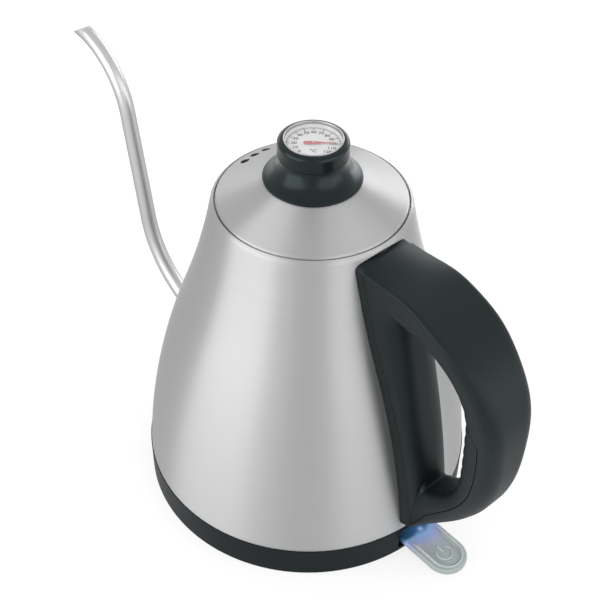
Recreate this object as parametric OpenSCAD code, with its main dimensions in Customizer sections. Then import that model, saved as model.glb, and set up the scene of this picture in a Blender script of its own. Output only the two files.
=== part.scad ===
// Cordless electric gooseneck kettle with a dial thermometer in its lid knob.
// Origin: centre of the base's underside. +Z up, +X towards the handle, spout along -X. Millimetres.

/* [Body] */
// Outer radius of the steel body at its lower edge
body_r = 80; // [66:0.5:96]
// Thickness of the steel wall
wall_t = 0.8; // [0.6:0.01:1.2]
// Height of the black base ring
ring_h = 17.3; // [16.5:0.1:21]
// Height at which the body leans most and its curve turns over
waist_z = 110.3; // [92:0.1:125]
// Height at which the rounded shoulder starts
neck_z = 163; // [135:0.5:196]
// Lean of the wall at its lower edge, in degrees
lean_foot = 4.3; // [2:0.1:8]
// Lean of the wall at the waist, in degrees
lean_waist = 20.7; // [17:0.1:23]
// Lean of the wall at the neck, in degrees
lean_neck = 10.7; // [8:0.1:14]
// Radius of the shoulder's round
shoulder_r = 3; // [2:0.1:4]

/* [Spout] */
// Outer diameter of the spout tube
spout_d = 9; // [7.5:0.1:11]
// Thickness of the spout tube's wall
spout_t = 0.8; // [0.6:0.1:1.2]
// Height of the spout's underside over the base ring, where it meets the body
spout_root_up = 3.2; // [2.7:0.1:10]
// Rise of the root above the horizontal, in degrees
spout_root_rise = 25; // [15:1:40]
// Straight length of the root outside the body wall
spout_root_len = 27; // [15:0.5:40]
// Radius of the lower bend
spout_low_r = 50; // [30:1:60]
// Lean of the riser from the vertical, in degrees
spout_lean = 9.3; // [4:0.1:14]
// Straight length of the riser
spout_riser = 67; // [45:0.5:90]
// Radius of the upper bend
spout_high_r = 28; // [20:1:36]
// Rise of the tip above the horizontal, in degrees
spout_tip_rise = 30; // [15:1:50]
// Straight length of the tip
spout_tip = 21.5; // [12:0.5:30]
// Tilt of the tip's cut towards the vertical, in degrees
spout_cut = 20; // [0:1:30]

/* [Lid] */
// Gap between the lid's rim and the body's shoulder
lid_gap = 0.4; // [0.3:0.05:0.8]
// Pitch of the lid's cone, in degrees
lid_pitch = 25.6; // [15:0.1:32]
// Thickness of the lid's sheet
lid_t = 0.8; // [0.6:0.1:1.2]
// Depth of the lid's skirt below its seat
skirt_depth = 11; // [8:0.5:16]
// Width of the ledge that the lid rests on
ledge_w = 5; // [4:0.1:7]
// Diameter of a vent hole
vent_d = 4.4; // [3:0.1:5]

/* [Knob and thermometer] */
// Radius of the knob's flange
flange_r = 21.7; // [19:0.1:24]
// Height of the knob above the lid's flat top
knob_h = 19.6; // [17:0.1:22]
// Largest radius of the knob's head
head_r = 15.4; // [14.6:0.1:17]
// Radius of the knob's waist
knob_waist_r = 13.4; // [12:0.1:14]
// Radius of the thermometer's case
case_r = 12.9; // [11:0.1:13.2]
// Length of the probe below the lid's flat top
probe_len = 95; // [60:1:110]
// Radius of the probe's tube
probe_r = 2; // [1.8:0.1:2.6]
// Bearing of the pointer at rest, in degrees from +X
pointer_bearing = 47.3; // [0:0.1:90]

/* [Handle] */
// Reach of the grip's outer face beyond the body's lower radius
grip_reach = 45; // [38:0.5:54]
// Thickness of the grip, seen from the side
grip_t = 20; // [17:0.5:22]
// Radius of the upper bend, as a share of the handle's height
bend_high = 0.351; // [0.31:0.001:0.41]
// Radius of the lower bend, as a share of the handle's height
bend_low = 0.482; // [0.42:0.001:0.55]
// Height of the lower bend's middle over the handle's foot, as a share of its height
bend_low_up = 0.528; // [0.46:0.001:0.57]
// Turn of the lower outer bend, in degrees
bend_low_turn = 45; // [42:1:50]
// Radius at the foot of the finger opening, as a share of the handle's height
finger_bend = 0.186; // [0.155:0.001:0.205]
// Height of that radius's middle over the handle's foot, as a share of its height
finger_up = 0.404; // [0.36:0.001:0.45]
// Thickness of the column beside the top of the opening
column_top_t = 15.5; // [13:0.5:20]
// Thickness of the column beside the foot of the opening
column_foot_t = 11.4; // [10:0.2:14]
// Half-width of the handle at its top
handle_top_w = 14.5; // [12:0.5:17]
// Half-width of the handle at its foot
handle_foot_w = 10; // [9:0.5:12]
// Wall thickness of the handle mouldings
handle_wall = 2.6; // [2:0.1:3.2]
// Thickness of the mount strip against the body
mount_t = 5; // [4:0.1:6]
// Distance of the cover's parting line from the outer face
parting_in = 8.5; // [7:0.1:10]
// Rise of the parting line's start above the low bend, as a share of the handle's height
parting_up = 0.165; // [0.1:0.005:0.25]
// Depth to which the edges of the handle's outer face are cut back
edge_cut = 5; // [3:0.1:6]

/* [Base and switch] */
// Thickness of the base ring's wall
ring_wall = 2.8; // [2.2:0.1:3.4]
// Thickness of the base cover
cover_t = 1.8; // [1.5:0.1:2.4]
// Circle of the base screws
screw_circle_r = 67; // [55:0.5:70]
// Radius of the lever's pivot pin
pivot_r = 1.5; // [1.2:0.05:2]
// Half-width of the lever's paddle
lever_w = 10.3; // [9:0.1:12]
// Reach of the lever's tip beyond the base ring
lever_reach = 30.6; // [24:0.2:36]
// Height of the lever's top face
lever_top_z = 9.8; // [9.4:0.1:10.4]
// Thickness of the lever's paddle
lever_t = 3.2; // [2.8:0.1:4.6]
// Radius of the steam pipe
steam_r = 3.5; // [3:0.1:4]
// Height of the floor's underside above the base ring
floor_up = 0.7; // [0.4:0.1:1.5]
// Radius of the heating element's ring
element_ring_r = 46; // [40:0.5:48]
// Radius of the element's sheath
element_r = 3.2; // [2.8:0.1:3.4]
// Inner radius of the connector socket
socket_r = 16.5; // [15:0.1:17.5]

/* [Hidden] */

$fn = 64;
// Facets of the circles that make the body's long curves
curve_fn = 720;
// Steps of the same curves where they are drawn as points
wall_steps = 16;
// Clearances: pieces that are fixed together, a running pin, and pieces that pass each other
snug = 0.05;
running = 0.05;
clear = 0.3;
// Small overrun that carries a cut through a face
over = 1;

// Body curves: a convex arc from the foot to the waist and a concave arc from there to the neck
foot_arc_r = (waist_z - ring_h) / (sin(lean_waist) - sin(lean_foot));
foot_cx = body_r - foot_arc_r * cos(lean_foot);
foot_cz = ring_h - foot_arc_r * sin(lean_foot);
waist_r = foot_cx + foot_arc_r * cos(lean_waist);
neck_arc_r = (neck_z - waist_z) / (sin(lean_waist) - sin(lean_neck));
neck_cx = waist_r + neck_arc_r * cos(lean_waist);
neck_cz = waist_z + neck_arc_r * sin(lean_waist);
neck_r = neck_cx - neck_arc_r * cos(lean_neck);
shoulder_cx = neck_r - shoulder_r * cos(lean_neck);
shoulder_cz = neck_z - shoulder_r * sin(lean_neck);
shoulder_end = 62;
shoulder_in_r = shoulder_cx + (shoulder_r - wall_t) * cos(shoulder_end);
shoulder_top_z = shoulder_cz + shoulder_r * sin(shoulder_end);

// Outer radius of the body at a height
function foot_r_at(z) = foot_cx + sqrt(pow(foot_arc_r, 2) - pow(z - foot_cz, 2));
function neck_r_at(z) = neck_cx - sqrt(pow(neck_arc_r, 2) - pow(z - neck_cz, 2));
function body_at(z) = z < waist_z ? foot_r_at(z) : neck_r_at(z);
// Points of an arc in a flat outline
function arc(cx, cz, r, from, to, steps) =
    [for (i = [0 : steps]) let (a = from + (to - from) * i / steps) [cx + r * cos(a), cz + r * sin(a)]];

// Vessel floor and heater stack
floor_t = 0.8;
floor_z = ring_h + floor_up;
floor_r = body_at(floor_z + floor_t) - wall_t - snug;
spreader_t = 2.4;
spreader_r = 58;
spreader_z = floor_z - spreader_t;
element_z = spreader_z - element_r;
element_gap = 50;
pin_r = 1.5;
pin_len = 12;

// Mouth and lid
ring_t = 0.8;
seat_z = shoulder_top_z - 1.8;
lid_r = shoulder_in_r - lid_gap;
mouth_r = lid_r - ledge_w;
mouth_lip = 7;
seat_gap = 0.1;
rim_z = seat_z + seat_gap;
rim_h = 1.4;
rim_round = 1.2;
lid_tan = tan(lid_pitch);
lid_edge_r = lid_r - rim_round * (1 - sin(lid_pitch));
lid_edge_z = rim_z + rim_h + rim_round * cos(lid_pitch);
lid_top_r = flange_r - 0.7;
lid_top_z = lid_edge_z + (lid_edge_r - lid_top_r) * lid_tan;
lid_slope_t = lid_t / cos(lid_pitch);
skirt_r = mouth_r - 1.2;
gasket_r = mouth_r - clear;
gasket_h = 3;
gasket_z = seat_z - 4.5;
vent_r = lid_r - 5.5;
vent_step = 10;
vent_n = 3;
vent_bearing = 183;

// Height of the lid's outer cone at a radius
function cone_z(r) = lid_edge_z + (lid_edge_r - r) * lid_tan;

// Knob and thermometer, measured up from the lid's flat top
spigot_r = 4.8;
spigot_len = 8;
washer_t = 0.8;
washer_r = 10;
nut_h = 4;
nut_af = 15;
flange_lip = 1.5;
knob_top_z = lid_top_z + knob_h;
head_h = 8.2;
case_h = 8.4;
case_t = 0.5;
case_z = knob_top_z - case_h;
bezel_w = 1.3;
bezel_h = 0.9;
lens_t = 0.9;
lens_r = case_r - case_t - snug;
lens_z = knob_top_z - lens_t;
dial_t = 0.4;
dial_z = knob_top_z - 2.9;
pointer_t = 0.35;
pointer_z = dial_z + dial_t + 0.35;
pointer_len = 9.6;
pointer_tail = 4;
pointer_hub_r = 1.3;
shaft_r = 0.5;
probe_bore = probe_r - 0.4;
probe_tip_z = lid_top_z - probe_len;
helix_len = 40;
helix_turns = 9;
helix_r = probe_bore - 0.25;
helix_t = 0.3;
helix_w = 2.4;

// Spout path in its own plane, u outwards from the body's axis and z upwards
spout_r = spout_d / 2;
spout_bore = spout_r - spout_t;
riser_angle = 90 - spout_lean;
spout_root_z = ring_h + spout_root_up + spout_r;
root_u = body_at(spout_root_z);
low_u = root_u + spout_root_len * cos(spout_root_rise);
low_z = spout_root_z + spout_root_len * sin(spout_root_rise);
low_cu = low_u - spout_low_r * sin(spout_root_rise);
low_cz = low_z + spout_low_r * cos(spout_root_rise);
riser_u = low_cu + spout_low_r * sin(riser_angle);
riser_z = low_cz - spout_low_r * cos(riser_angle);
high_u = riser_u + spout_riser * cos(riser_angle);
high_z = riser_z + spout_riser * sin(riser_angle);
high_cu = high_u + spout_high_r * sin(riser_angle);
high_cz = high_z - spout_high_r * cos(riser_angle);
tip_u = high_cu - spout_high_r * sin(spout_tip_rise);
tip_z = high_cz + spout_high_r * cos(spout_tip_rise);
spout_inside = 4;
// A bent tube draws down by this much on its wall
draw_down = 0.02;
// One length of a tube laps the next one's end by this much
lap = 0.2;

// Handle outline
handle_top_z = shoulder_top_z - 1.6;
handle_foot_z = ring_h + 1;
handle_h = handle_top_z - handle_foot_z;
grip_x = body_r + grip_reach;
bend_high_r = bend_high * handle_h;
bend_low_r = bend_low * handle_h;
bend_low_z = handle_foot_z + bend_low_up * handle_h;
finger_r = finger_bend * handle_h;
finger_z = handle_foot_z + finger_up * handle_h;
bend_high_cx = grip_x - bend_high_r;
bend_high_cz = handle_top_z - bend_high_r;
bend_low_cx = grip_x - bend_low_r;
finger_cx = grip_x - grip_t - finger_r;
finger_turn = 68;
finger_foot_z = finger_z - finger_r * sin(finger_turn);
finger_top_z = handle_top_z - grip_t;
arc_steps = 12;
top_ease = 0.35;
foot_ease = 0.5;
slab_w = handle_top_w + 5;
cutter = 120;
edge_turns = [90, 67.5, 45, 22.5, 0, -bend_low_turn / 2, -bend_low_turn];
parting_top_z = bend_low_z + parting_up * handle_h;
parting_gap = 0.15;
mount_gap = 0.15;

// Base
cover_z = 0.7;
cover_top = cover_z + cover_t;
ring_in_r = body_r + 0.4 - ring_wall;
cover_r = ring_in_r - clear;
lip_t = 1.8;
lip_in_r = spreader_r;
boss_r = 5;
boss_top = cover_top + 3.5;
boss_roof = 1.6;
screw_n = 3;
screw_first = 60;
screw_r = 1.5;
screw_head_r = 3;
screw_head_h = 2.2;
standoff_r = 3.5;
control_r = socket_r + 3.5;
control_z = 1;
socket_top = 10.2;
control_flange_r = control_r + 7;
control_flange_t = 2.4;
control_top = socket_top + control_flange_t;
disc_r = 7;
disc_t = 0.4;
disc_y = 12;
earth_r = 2.5;
earth_z = control_z + 2.5;
contact_r = 10;
contact_z = control_z + 3;
contact_t = 1;
tab_len = 11;
tab_w = 6.3;
tab_t = 0.8;
tab_z = 7;
tab_bearing = 18;
wire_r = 1;
control_head_r = 2.4;
control_head_h = 1.6;
control_screw_r = 1.25;
control_screw_circle = control_r + 3.5;

// Switch in the base, below the handle
ring_r = body_r + 0.4;
pivot_x = ring_in_r - 4.6;
pivot_z = 8;
lever_tip_x = ring_r + lever_reach;
lever_z = lever_top_z - lever_t;
hub_r = 3.4;
tail_len = 14;
tail_w = 5;
tail_t = 2.4;
tail_z = pivot_z - 0.6;
trip_x = pivot_x - 11;
trip_r = 1.2;
guide_r = trip_r + 1.4;
frame_in_w = lever_w + 1;
frame_t = 2;
frame_floor_t = 1.2;
frame_x0 = pivot_x - 18;
frame_x1 = ring_in_r - clear;
frame_z = cover_top + 0.1;
deck_z = tail_z + tail_t + 1.6;
deck_t = 1;
guide_z = tail_z + tail_t + 0.4;
window_w = lever_w + 0.8;
window_z0 = cover_top + 0.2;
window_z1 = ring_h - 1.8;
rim_w = 3.3;
panel_depth = 0.7;
icon_x = lever_tip_x - 12;
icon_r = 3.8;
icon_w = 0.9;
icon_h = 0.5;
icon_sweep = 300;
led_r = 1.5;
led_x = ring_r + 0.6;
led_len = 3.6;
steam_off = wall_t + 2.2 + steam_r;
steam_bore = steam_r - 0.6;
steam_foot_z = deck_z + deck_t + 1.4;
steam_top_z = seat_z - skirt_depth - 4;
cap_t = 1;
cap_w = 8;
cap_top = spreader_z - clear;
bimetal_r = 5.4;

// A revolved profile whose plane is X outwards and Y upwards
module turned() {
    rotate_extrude($fn = 96) children();
}

// A flat outline in the X-Z plane, given thickness along Y about the middle plane
module slab(w) {
    rotate([90, 0, 0]) linear_extrude(2 * w, center = true) children();
}

// A flat section swept round a centre in the X-Z plane
module swept_arc(cx, cz, r, from, to) {
    translate([cx, 0, cz]) rotate([90, 0, 0]) rotate([0, 0, from])
        rotate_extrude(angle = to - from, $fn = 180) translate([r, 0]) children();
}

// A flat section carried straight in the X-Z plane, at a rise above +X, from and to distances from a point
module rod(x, z, rise, from, to) {
    translate([x, 0, z]) rotate([0, 90 - rise, 0]) translate([0, 0, from])
        linear_extrude(to - from) children();
}

// The section of a tube
module annulus(r, bore) {
    difference() {
        circle(r);
        circle(bore);
    }
}

// The profile of the body's outer face, moved inwards, from the axis out
module body_half(inset, z0, z1) {
    turn_z = waist_z - inset * sin(lean_waist);
    intersection() {
        translate([foot_cx, foot_cz]) circle(foot_arc_r - inset, $fn = curve_fn);
        translate([0, z0]) square([body_r + 30, turn_z - z0]);
    }
    difference() {
        translate([0, turn_z]) square([waist_r + 10, z1 - turn_z]);
        translate([neck_cx, neck_cz]) circle(neck_arc_r + inset, $fn = curve_fn);
    }
}

// The same profile as points, for a plain solid that seats other pieces on the body's wall
function wall_line(inset, z0, z1) = let (
    low = foot_arc_r - inset,
    high = neck_arc_r + inset,
    belly = arc(foot_cx, foot_cz, low, asin((z0 - foot_cz) / low), lean_waist, wall_steps),
    neck = arc(neck_cx, neck_cz, high, 180 + lean_waist, 180 + asin((neck_cz - z1) / high), wall_steps)
) concat([[0, z0]], belly, [for (i = [1 : wall_steps]) neck[i]], [[0, z1]]);

module body_plug(inset, z0, z1) {
    turned() polygon(wall_line(inset, z0, z1));
}

// The steam pipe's path keeps one distance from the body's wall: an arc beside the belly
module steam_low(z0) {
    low = foot_arc_r - steam_off;
    past = lap / low * 180 / PI;
    swept_arc(foot_cx, foot_cz, low, asin((z0 - foot_cz) / low), lean_waist + past) children();
}

// and an arc of the other hand beside the neck
module steam_high(z1) {
    high = neck_arc_r + steam_off;
    swept_arc(neck_cx, neck_cz, high, 180 + asin((neck_cz - z1) / high), 180 + lean_waist) children();
}

// Places on a circle about the axis
module around(r, n, first) {
    for (i = [0 : n - 1]) rotate([0, 0, first + i * 360 / n]) translate([r, 0, 0]) children();
}

// A bar with a round end towards +X
module round_ended(x0, x1, w, z, h) {
    translate([0, 0, z]) linear_extrude(h) {
        translate([x0, -w]) square([x1 - w - x0, 2 * w]);
        translate([x1 - w, 0]) circle(w);
    }
}

module body_shell() {
    color("silver") difference() {
        turned() {
            difference() {
                body_half(0, ring_h, neck_z);
                body_half(wall_t, ring_h - over, neck_z + over);
            }
            intersection() {
                difference() {
                    translate([shoulder_cx, shoulder_cz]) circle(shoulder_r);
                    translate([shoulder_cx, shoulder_cz]) circle(shoulder_r - wall_t);
                }
                translate([shoulder_cx, shoulder_cz]) polygon([
                    [0, 0],
                    2 * shoulder_r * [cos(lean_neck), sin(lean_neck)],
                    2 * shoulder_r * [cos(shoulder_end), sin(shoulder_end)]
                ]);
            }
        }
        mirror([1, 0, 0]) rod(root_u, spout_root_z, spout_root_rise, -3 * spout_r, 3 * spout_r)
            circle(spout_r + snug);
    }
}

module mouth_ring() {
    out_r = body_at(seat_z - ring_t) - wall_t - snug - ring_t * tan(lean_neck) - 0.2;
    color("gainsboro") turned() polygon([
        [mouth_r, seat_z], [out_r, seat_z], [out_r, seat_z - ring_t], [mouth_r + ring_t, seat_z - ring_t],
        [mouth_r + ring_t, seat_z - mouth_lip], [mouth_r, seat_z - mouth_lip]
    ]);
}

module vessel_floor() {
    color("lightgray") difference() {
        translate([0, 0, floor_z]) cylinder(h = floor_t, r = floor_r);
        steam_low(steam_foot_z) circle(steam_r + snug);
    }
}

// The spout's section in its bends
module drawn_section() {
    annulus(spout_r - draw_down, spout_bore + draw_down);
}

module spout_tube() {
    cut_u = tip_u + spout_tip * cos(spout_tip_rise);
    cut_z = tip_z + spout_tip * sin(spout_tip_rise);
    color("whitesmoke") mirror([1, 0, 0]) {
        rod(root_u, spout_root_z, spout_root_rise, -spout_inside, spout_root_len + lap)
            annulus(spout_r, spout_bore);
        swept_arc(low_cu, low_cz, spout_low_r, spout_root_rise - 90, riser_angle - 90) drawn_section();
        rod(riser_u, riser_z, riser_angle, -lap, spout_riser + lap) annulus(spout_r, spout_bore);
        swept_arc(high_cu, high_cz, spout_high_r, spout_tip_rise + 90, riser_angle + 90) drawn_section();
        difference() {
            rod(tip_u, tip_z, spout_tip_rise, -lap, spout_tip + 2 * spout_r) annulus(spout_r, spout_bore);
            translate([cut_u, 0, cut_z]) rotate([0, -spout_tip_rise - spout_cut, 0])
                translate([0, -3 * spout_r, -4 * spout_r]) cube([6 * spout_r, 6 * spout_r, 8 * spout_r]);
        }
    }
}

module steam_pipe() {
    color("lightgray") {
        steam_low(steam_foot_z) annulus(steam_r, steam_bore);
        steam_high(steam_top_z) annulus(steam_r - draw_down, steam_bore + draw_down);
    }
}

module heat_spreader() {
    color("darkgray") difference() {
        translate([0, 0, spreader_z]) cylinder(h = spreader_t, r = spreader_r);
        around(control_screw_circle, screw_n, screw_first) translate([0, 0, spreader_z - over])
            cylinder(h = spreader_t + over - 0.4, r = control_screw_r + snug);
    }
}

module heating_element() {
    color("dimgray") translate([0, 0, element_z]) rotate([0, 0, element_gap / 2])
        rotate_extrude(angle = 360 - element_gap, $fn = 180)
            translate([element_ring_r, 0]) circle(element_r);
}

module element_pins() {
    color("gold") for (side = [-1, 1]) rotate([0, 0, side * element_gap / 2])
        translate([element_ring_r, 0, element_z]) rotate([side * 90, 0, 0])
            cylinder(h = pin_len, r = pin_r);
}

module control_body() {
    cup_z = spreader_z - disc_t;
    color("ivory") difference() {
        union() {
            translate([0, 0, control_z]) cylinder(h = control_top - control_z, r = control_r);
            translate([0, 0, socket_top]) cylinder(h = control_flange_t, r = control_flange_r);
            for (side = [-1, 1]) translate([0, side * disc_y, control_top - over])
                cylinder(h = cup_z - control_top + over, r = disc_r);
        }
        translate([0, 0, control_z - over]) cylinder(h = socket_top - control_z + over, r = socket_r);
        for (side = [-1, 1]) translate([0, side * disc_y, control_top])
            cylinder(h = cup_z - control_top + over, r = disc_r - 1);
        around(control_screw_circle, screw_n, screw_first) translate([0, 0, socket_top - over])
            cylinder(h = control_flange_t + 2 * over, r = control_screw_r + clear);
    }
}

module control_tabs() {
    color("gold") for (side = [-1, 1]) rotate([0, 0, side * tab_bearing])
        translate([control_r + snug, -tab_w / 2, tab_z]) cube([tab_len, tab_w, tab_t]);
}

module control_screws() {
    shank = control_flange_t + spreader_z - control_top + 1.6;
    color("gray") around(control_screw_circle, screw_n, screw_first) {
        translate([0, 0, socket_top]) cylinder(h = shank, r = control_screw_r);
        translate([0, 0, socket_top - control_head_h]) cylinder(h = control_head_h, r = control_head_r);
    }
}

module snap_discs() {
    color("peru") for (side = [-1, 1]) translate([0, side * disc_y, spreader_z - disc_t])
        cylinder(h = disc_t, r = disc_r - 0.4);
}

module earth_pin() {
    color("gold") translate([0, 0, earth_z]) cylinder(h = socket_top - earth_z, r = earth_r);
}

module contact_ring() {
    color("gold") translate([0, 0, contact_z]) difference() {
        cylinder(h = socket_top - contact_z, r = contact_r);
        translate([0, 0, -over]) cylinder(h = socket_top, r = contact_r - contact_t);
    }
}

module base_ring() {
    color("#26292b") difference() {
        union() {
            turned() polygon([
                [ring_in_r, 0], [ring_r - 0.8, 0], [ring_r, 0.8], [ring_r, ring_h], [ring_in_r, ring_h]
            ]);
            turned() translate([lip_in_r, cover_top]) square([ring_in_r - lip_in_r + over, lip_t]);
        }
        around(screw_circle_r, screw_n, screw_first) translate([0, 0, cover_top - over])
            cylinder(h = lip_t + 2 * over, r = boss_r + clear);
        translate([frame_x0 - clear, -frame_in_w - frame_t - clear, cover_top - over])
            cube([frame_x1 - frame_x0 + clear, 2 * (frame_in_w + frame_t + clear), ring_h]);
        translate([ring_in_r - 4, -window_w, window_z0]) cube([10, 2 * window_w, window_z1 - window_z0]);
    }
}

module base_cover() {
    color("#1d1f20") difference() {
        union() {
            translate([0, 0, cover_z]) cylinder(h = cover_t, r = cover_r);
            around(screw_circle_r, screw_n, screw_first) translate([0, 0, cover_z])
                cylinder(h = boss_top - cover_z, r = boss_r);
        }
        translate([0, 0, cover_z - over]) cylinder(h = cover_t + 2 * over, r = control_r + clear);
        around(screw_circle_r, screw_n, screw_first) {
            translate([0, 0, cover_z - over])
                cylinder(h = boss_top - boss_roof - cover_z + over, r = screw_head_r + clear);
            translate([0, 0, cover_z]) cylinder(h = boss_top, r = screw_r + clear);
        }
    }
}

module base_standoffs() {
    color("lightgray") around(screw_circle_r, screw_n, screw_first) difference() {
        translate([0, 0, boss_top]) cylinder(h = floor_z - boss_top, r = standoff_r);
        translate([0, 0, boss_top - over]) cylinder(h = floor_z - boss_top - 1.5, r = screw_r + snug);
    }
}

module base_screws() {
    head_z = boss_top - boss_roof;
    color("gray") around(screw_circle_r, screw_n, screw_first) {
        translate([0, 0, head_z]) cylinder(h = boss_roof + 7, r = screw_r);
        difference() {
            translate([0, 0, head_z - screw_head_h]) cylinder(h = screw_head_h, r = screw_head_r);
            for (turn = [0, 90]) rotate([0, 0, turn]) translate([-1.6, -0.3, head_z - screw_head_h - over])
                cube([3.2, 0.6, 1 + over]);
        }
    }
}

module switch_frame() {
    cheek_h = deck_z + deck_t - frame_z;
    color("#303436") difference() {
        union() {
            translate([frame_x0, -frame_in_w - frame_t, frame_z])
                cube([frame_x1 - frame_x0, 2 * (frame_in_w + frame_t), frame_floor_t]);
            for (side = [0, 1]) mirror([0, side, 0])
                translate([frame_x0, frame_in_w, frame_z]) cube([frame_x1 - frame_x0, frame_t, cheek_h]);
            translate([frame_x0, -frame_in_w, frame_z]) cube([frame_t, 2 * frame_in_w, cheek_h]);
            translate([frame_x0, -frame_in_w - snug, deck_z])
                cube([pivot_x - hub_r - 1 - frame_x0, 2 * (frame_in_w + snug), deck_t]);
            translate([trip_x, 0, guide_z]) cylinder(h = deck_z + deck_t - guide_z, r = guide_r);
        }
        translate([pivot_x, 0, pivot_z]) rotate([90, 0, 0])
            cylinder(h = 4 * frame_in_w, r = pivot_r + running / 2, center = true);
        translate([trip_x, 0, tail_z + tail_t]) cylinder(h = deck_z + deck_t, r = trip_r + running);
        // The corners that the ring's round wall would meet
        difference() {
            translate([frame_x1 - 8, -30, frame_z - over]) cube([20, 60, ring_h]);
            translate([0, 0, frame_z - 2 * over]) cylinder(h = 2 * ring_h, r = ring_in_r - clear);
        }
    }
}

module steam_cap() {
    cap_z = deck_z + deck_t;
    color("#3a3d3f") difference() {
        translate([frame_x0, -cap_w, cap_z]) cube([frame_x1 - frame_x0 - 1, 2 * cap_w, cap_top - cap_z]);
        translate([frame_x0 + cap_t, -cap_w + cap_t, cap_z - over])
            cube([pivot_x - hub_r - 2 - frame_x0 - cap_t, 2 * (cap_w - cap_t), cap_top - cap_z]);
        translate([pivot_x - hub_r - 4, -cap_w + cap_t, cap_z + cap_t])
            cube([frame_x1 - pivot_x + hub_r + 2, 2 * (cap_w - cap_t), cap_top - cap_z - 2 * cap_t]);
        steam_low(steam_foot_z - 2) circle(steam_r + snug);
    }
}

module steam_bimetal() {
    color("peru") translate([trip_x, 0, deck_z + deck_t + snug]) cylinder(h = 0.5, r = bimetal_r);
}

module trip_pin() {
    color("white") translate([trip_x, 0, tail_z + tail_t + snug])
        cylinder(h = deck_z + deck_t - tail_z - tail_t - snug, r = trip_r);
}

module lever_pin() {
    color("silver") translate([pivot_x, 0, pivot_z]) rotate([90, 0, 0])
        cylinder(h = 2 * (frame_in_w + frame_t) - 0.4, r = pivot_r, center = true);
}

module switch_lever() {
    panel_x0 = ring_r + 5;
    icon_z = lever_top_z - panel_depth;
    color("#9aa3a8") {
        difference() {
            union() {
                round_ended(pivot_x, lever_tip_x, lever_w, lever_z, lever_t);
                translate([pivot_x, 0, pivot_z]) rotate([90, 0, 0])
                    cylinder(h = 2 * lever_w, r = hub_r, center = true);
                translate([pivot_x - tail_len, -tail_w, tail_z]) cube([tail_len, 2 * tail_w, tail_t]);
            }
            translate([pivot_x, 0, pivot_z]) rotate([90, 0, 0])
                cylinder(h = 4 * lever_w, r = pivot_r + running, center = true);
            round_ended(panel_x0, lever_tip_x - rim_w, lever_w - rim_w, lever_top_z - panel_depth, over);
            translate([led_x - led_len - 1, -led_r - 0.3, lever_top_z - 2 * led_r - 0.4])
                cube([led_len + led_r + 1.4, 2 * led_r + 0.6, 2 * led_r + over]);
        }
        translate([icon_x, 0, icon_z]) {
            rotate([0, 0, -icon_sweep / 2]) rotate_extrude(angle = icon_sweep)
                translate([icon_r - icon_w, 0]) square([icon_w, icon_h]);
            translate([-icon_r - 1, -icon_w / 2, 0]) cube([icon_r, icon_w, icon_h]);
        }
    }
}

module lever_led() {
    color("deepskyblue") translate([led_x - led_len, 0, lever_top_z - led_r - 0.2]) rotate([0, 90, 0]) {
        cylinder(h = led_len, r = led_r);
        translate([0, 0, led_len]) sphere(led_r);
    }
}

module contact_leaf() {
    leaf_z = tail_z - 1;
    leaf_y = tail_w + 1;
    leaf_w = 3;
    leaf_t = 0.4;
    foot_top = frame_z + frame_floor_t;
    color("goldenrod") {
        translate([trip_x - 3, -3, leaf_z]) cube([3, leaf_y + leaf_w + 3, leaf_t]);
        translate([trip_x - 3, leaf_y, leaf_z]) cube([8, leaf_w, leaf_t]);
        translate([trip_x + 3, leaf_y, foot_top]) cube([2, leaf_w, leaf_z - foot_top + leaf_t]);
        translate([trip_x - 1.5, leaf_y + leaf_w / 2, leaf_z]) cylinder(h = tail_z - leaf_z, r = 1.2);
    }
}

module fixed_contact() {
    color("goldenrod") translate([trip_x - 4, tail_w + 1, tail_z]) cube([5, frame_in_w - tail_w - 1, 0.8]);
}

module lead_wires() {
    tab_end = control_r + tab_len;
    start_x = tab_end * cos(tab_bearing) + 0.4;
    color("firebrick") for (side = [-1, 1])
        translate([start_x, side * tab_end * sin(tab_bearing), tab_z + tab_t / 2]) rotate([0, 90, 0])
            cylinder(h = frame_x0 - snug - start_x, r = wire_r);
}

// Handle outline, moved inwards, as points in the X-Z plane
function handle_outline(inset) = let (
    low_end = [bend_low_cx + (bend_low_r - inset) * cos(bend_low_turn),
        bend_low_z - (bend_low_r - inset) * sin(bend_low_turn)],
    foot = handle_foot_z + inset,
    run = (low_end[1] - foot) / cos(bend_low_turn)
) concat(
    [[0, foot], [0, handle_top_z - inset]],
    arc(bend_high_cx, bend_high_cz, bend_high_r - inset, 90, 0, arc_steps),
    arc(bend_low_cx, bend_low_z, bend_low_r - inset, 0, -bend_low_turn, arc_steps),
    [[low_end[0] - run * sin(bend_low_turn), foot]]
);

// Finger opening, moved outwards, as points in the X-Z plane
function finger_outline(grow) = let (
    top_z = finger_top_z + grow,
    foot_z = finger_foot_z - grow,
    top_x = body_at(finger_top_z) + column_top_t - grow,
    foot_x = body_at(finger_foot_z) + column_foot_t - grow
) concat(
    [[foot_x, foot_z], [finger_cx + finger_r * cos(finger_turn), foot_z]],
    arc(finger_cx, finger_z, finger_r + grow, -finger_turn, 0, arc_steps),
    arc(bend_high_cx, bend_high_cz, bend_high_r - grip_t + grow, 0, 90, arc_steps),
    [[top_x, top_z]]
);

// The handle's front outline: its width narrows from the top to the foot
module handle_taper(inset) {
    top_w = handle_top_w - inset;
    foot_w = handle_foot_w - inset;
    rotate([90, 0, 90]) linear_extrude(grip_x + 10) polygon([
        [-foot_w, handle_foot_z - over], [foot_w, handle_foot_z - over],
        [top_w, handle_top_z + over], [-top_w, handle_top_z + over]
    ]);
}

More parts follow.
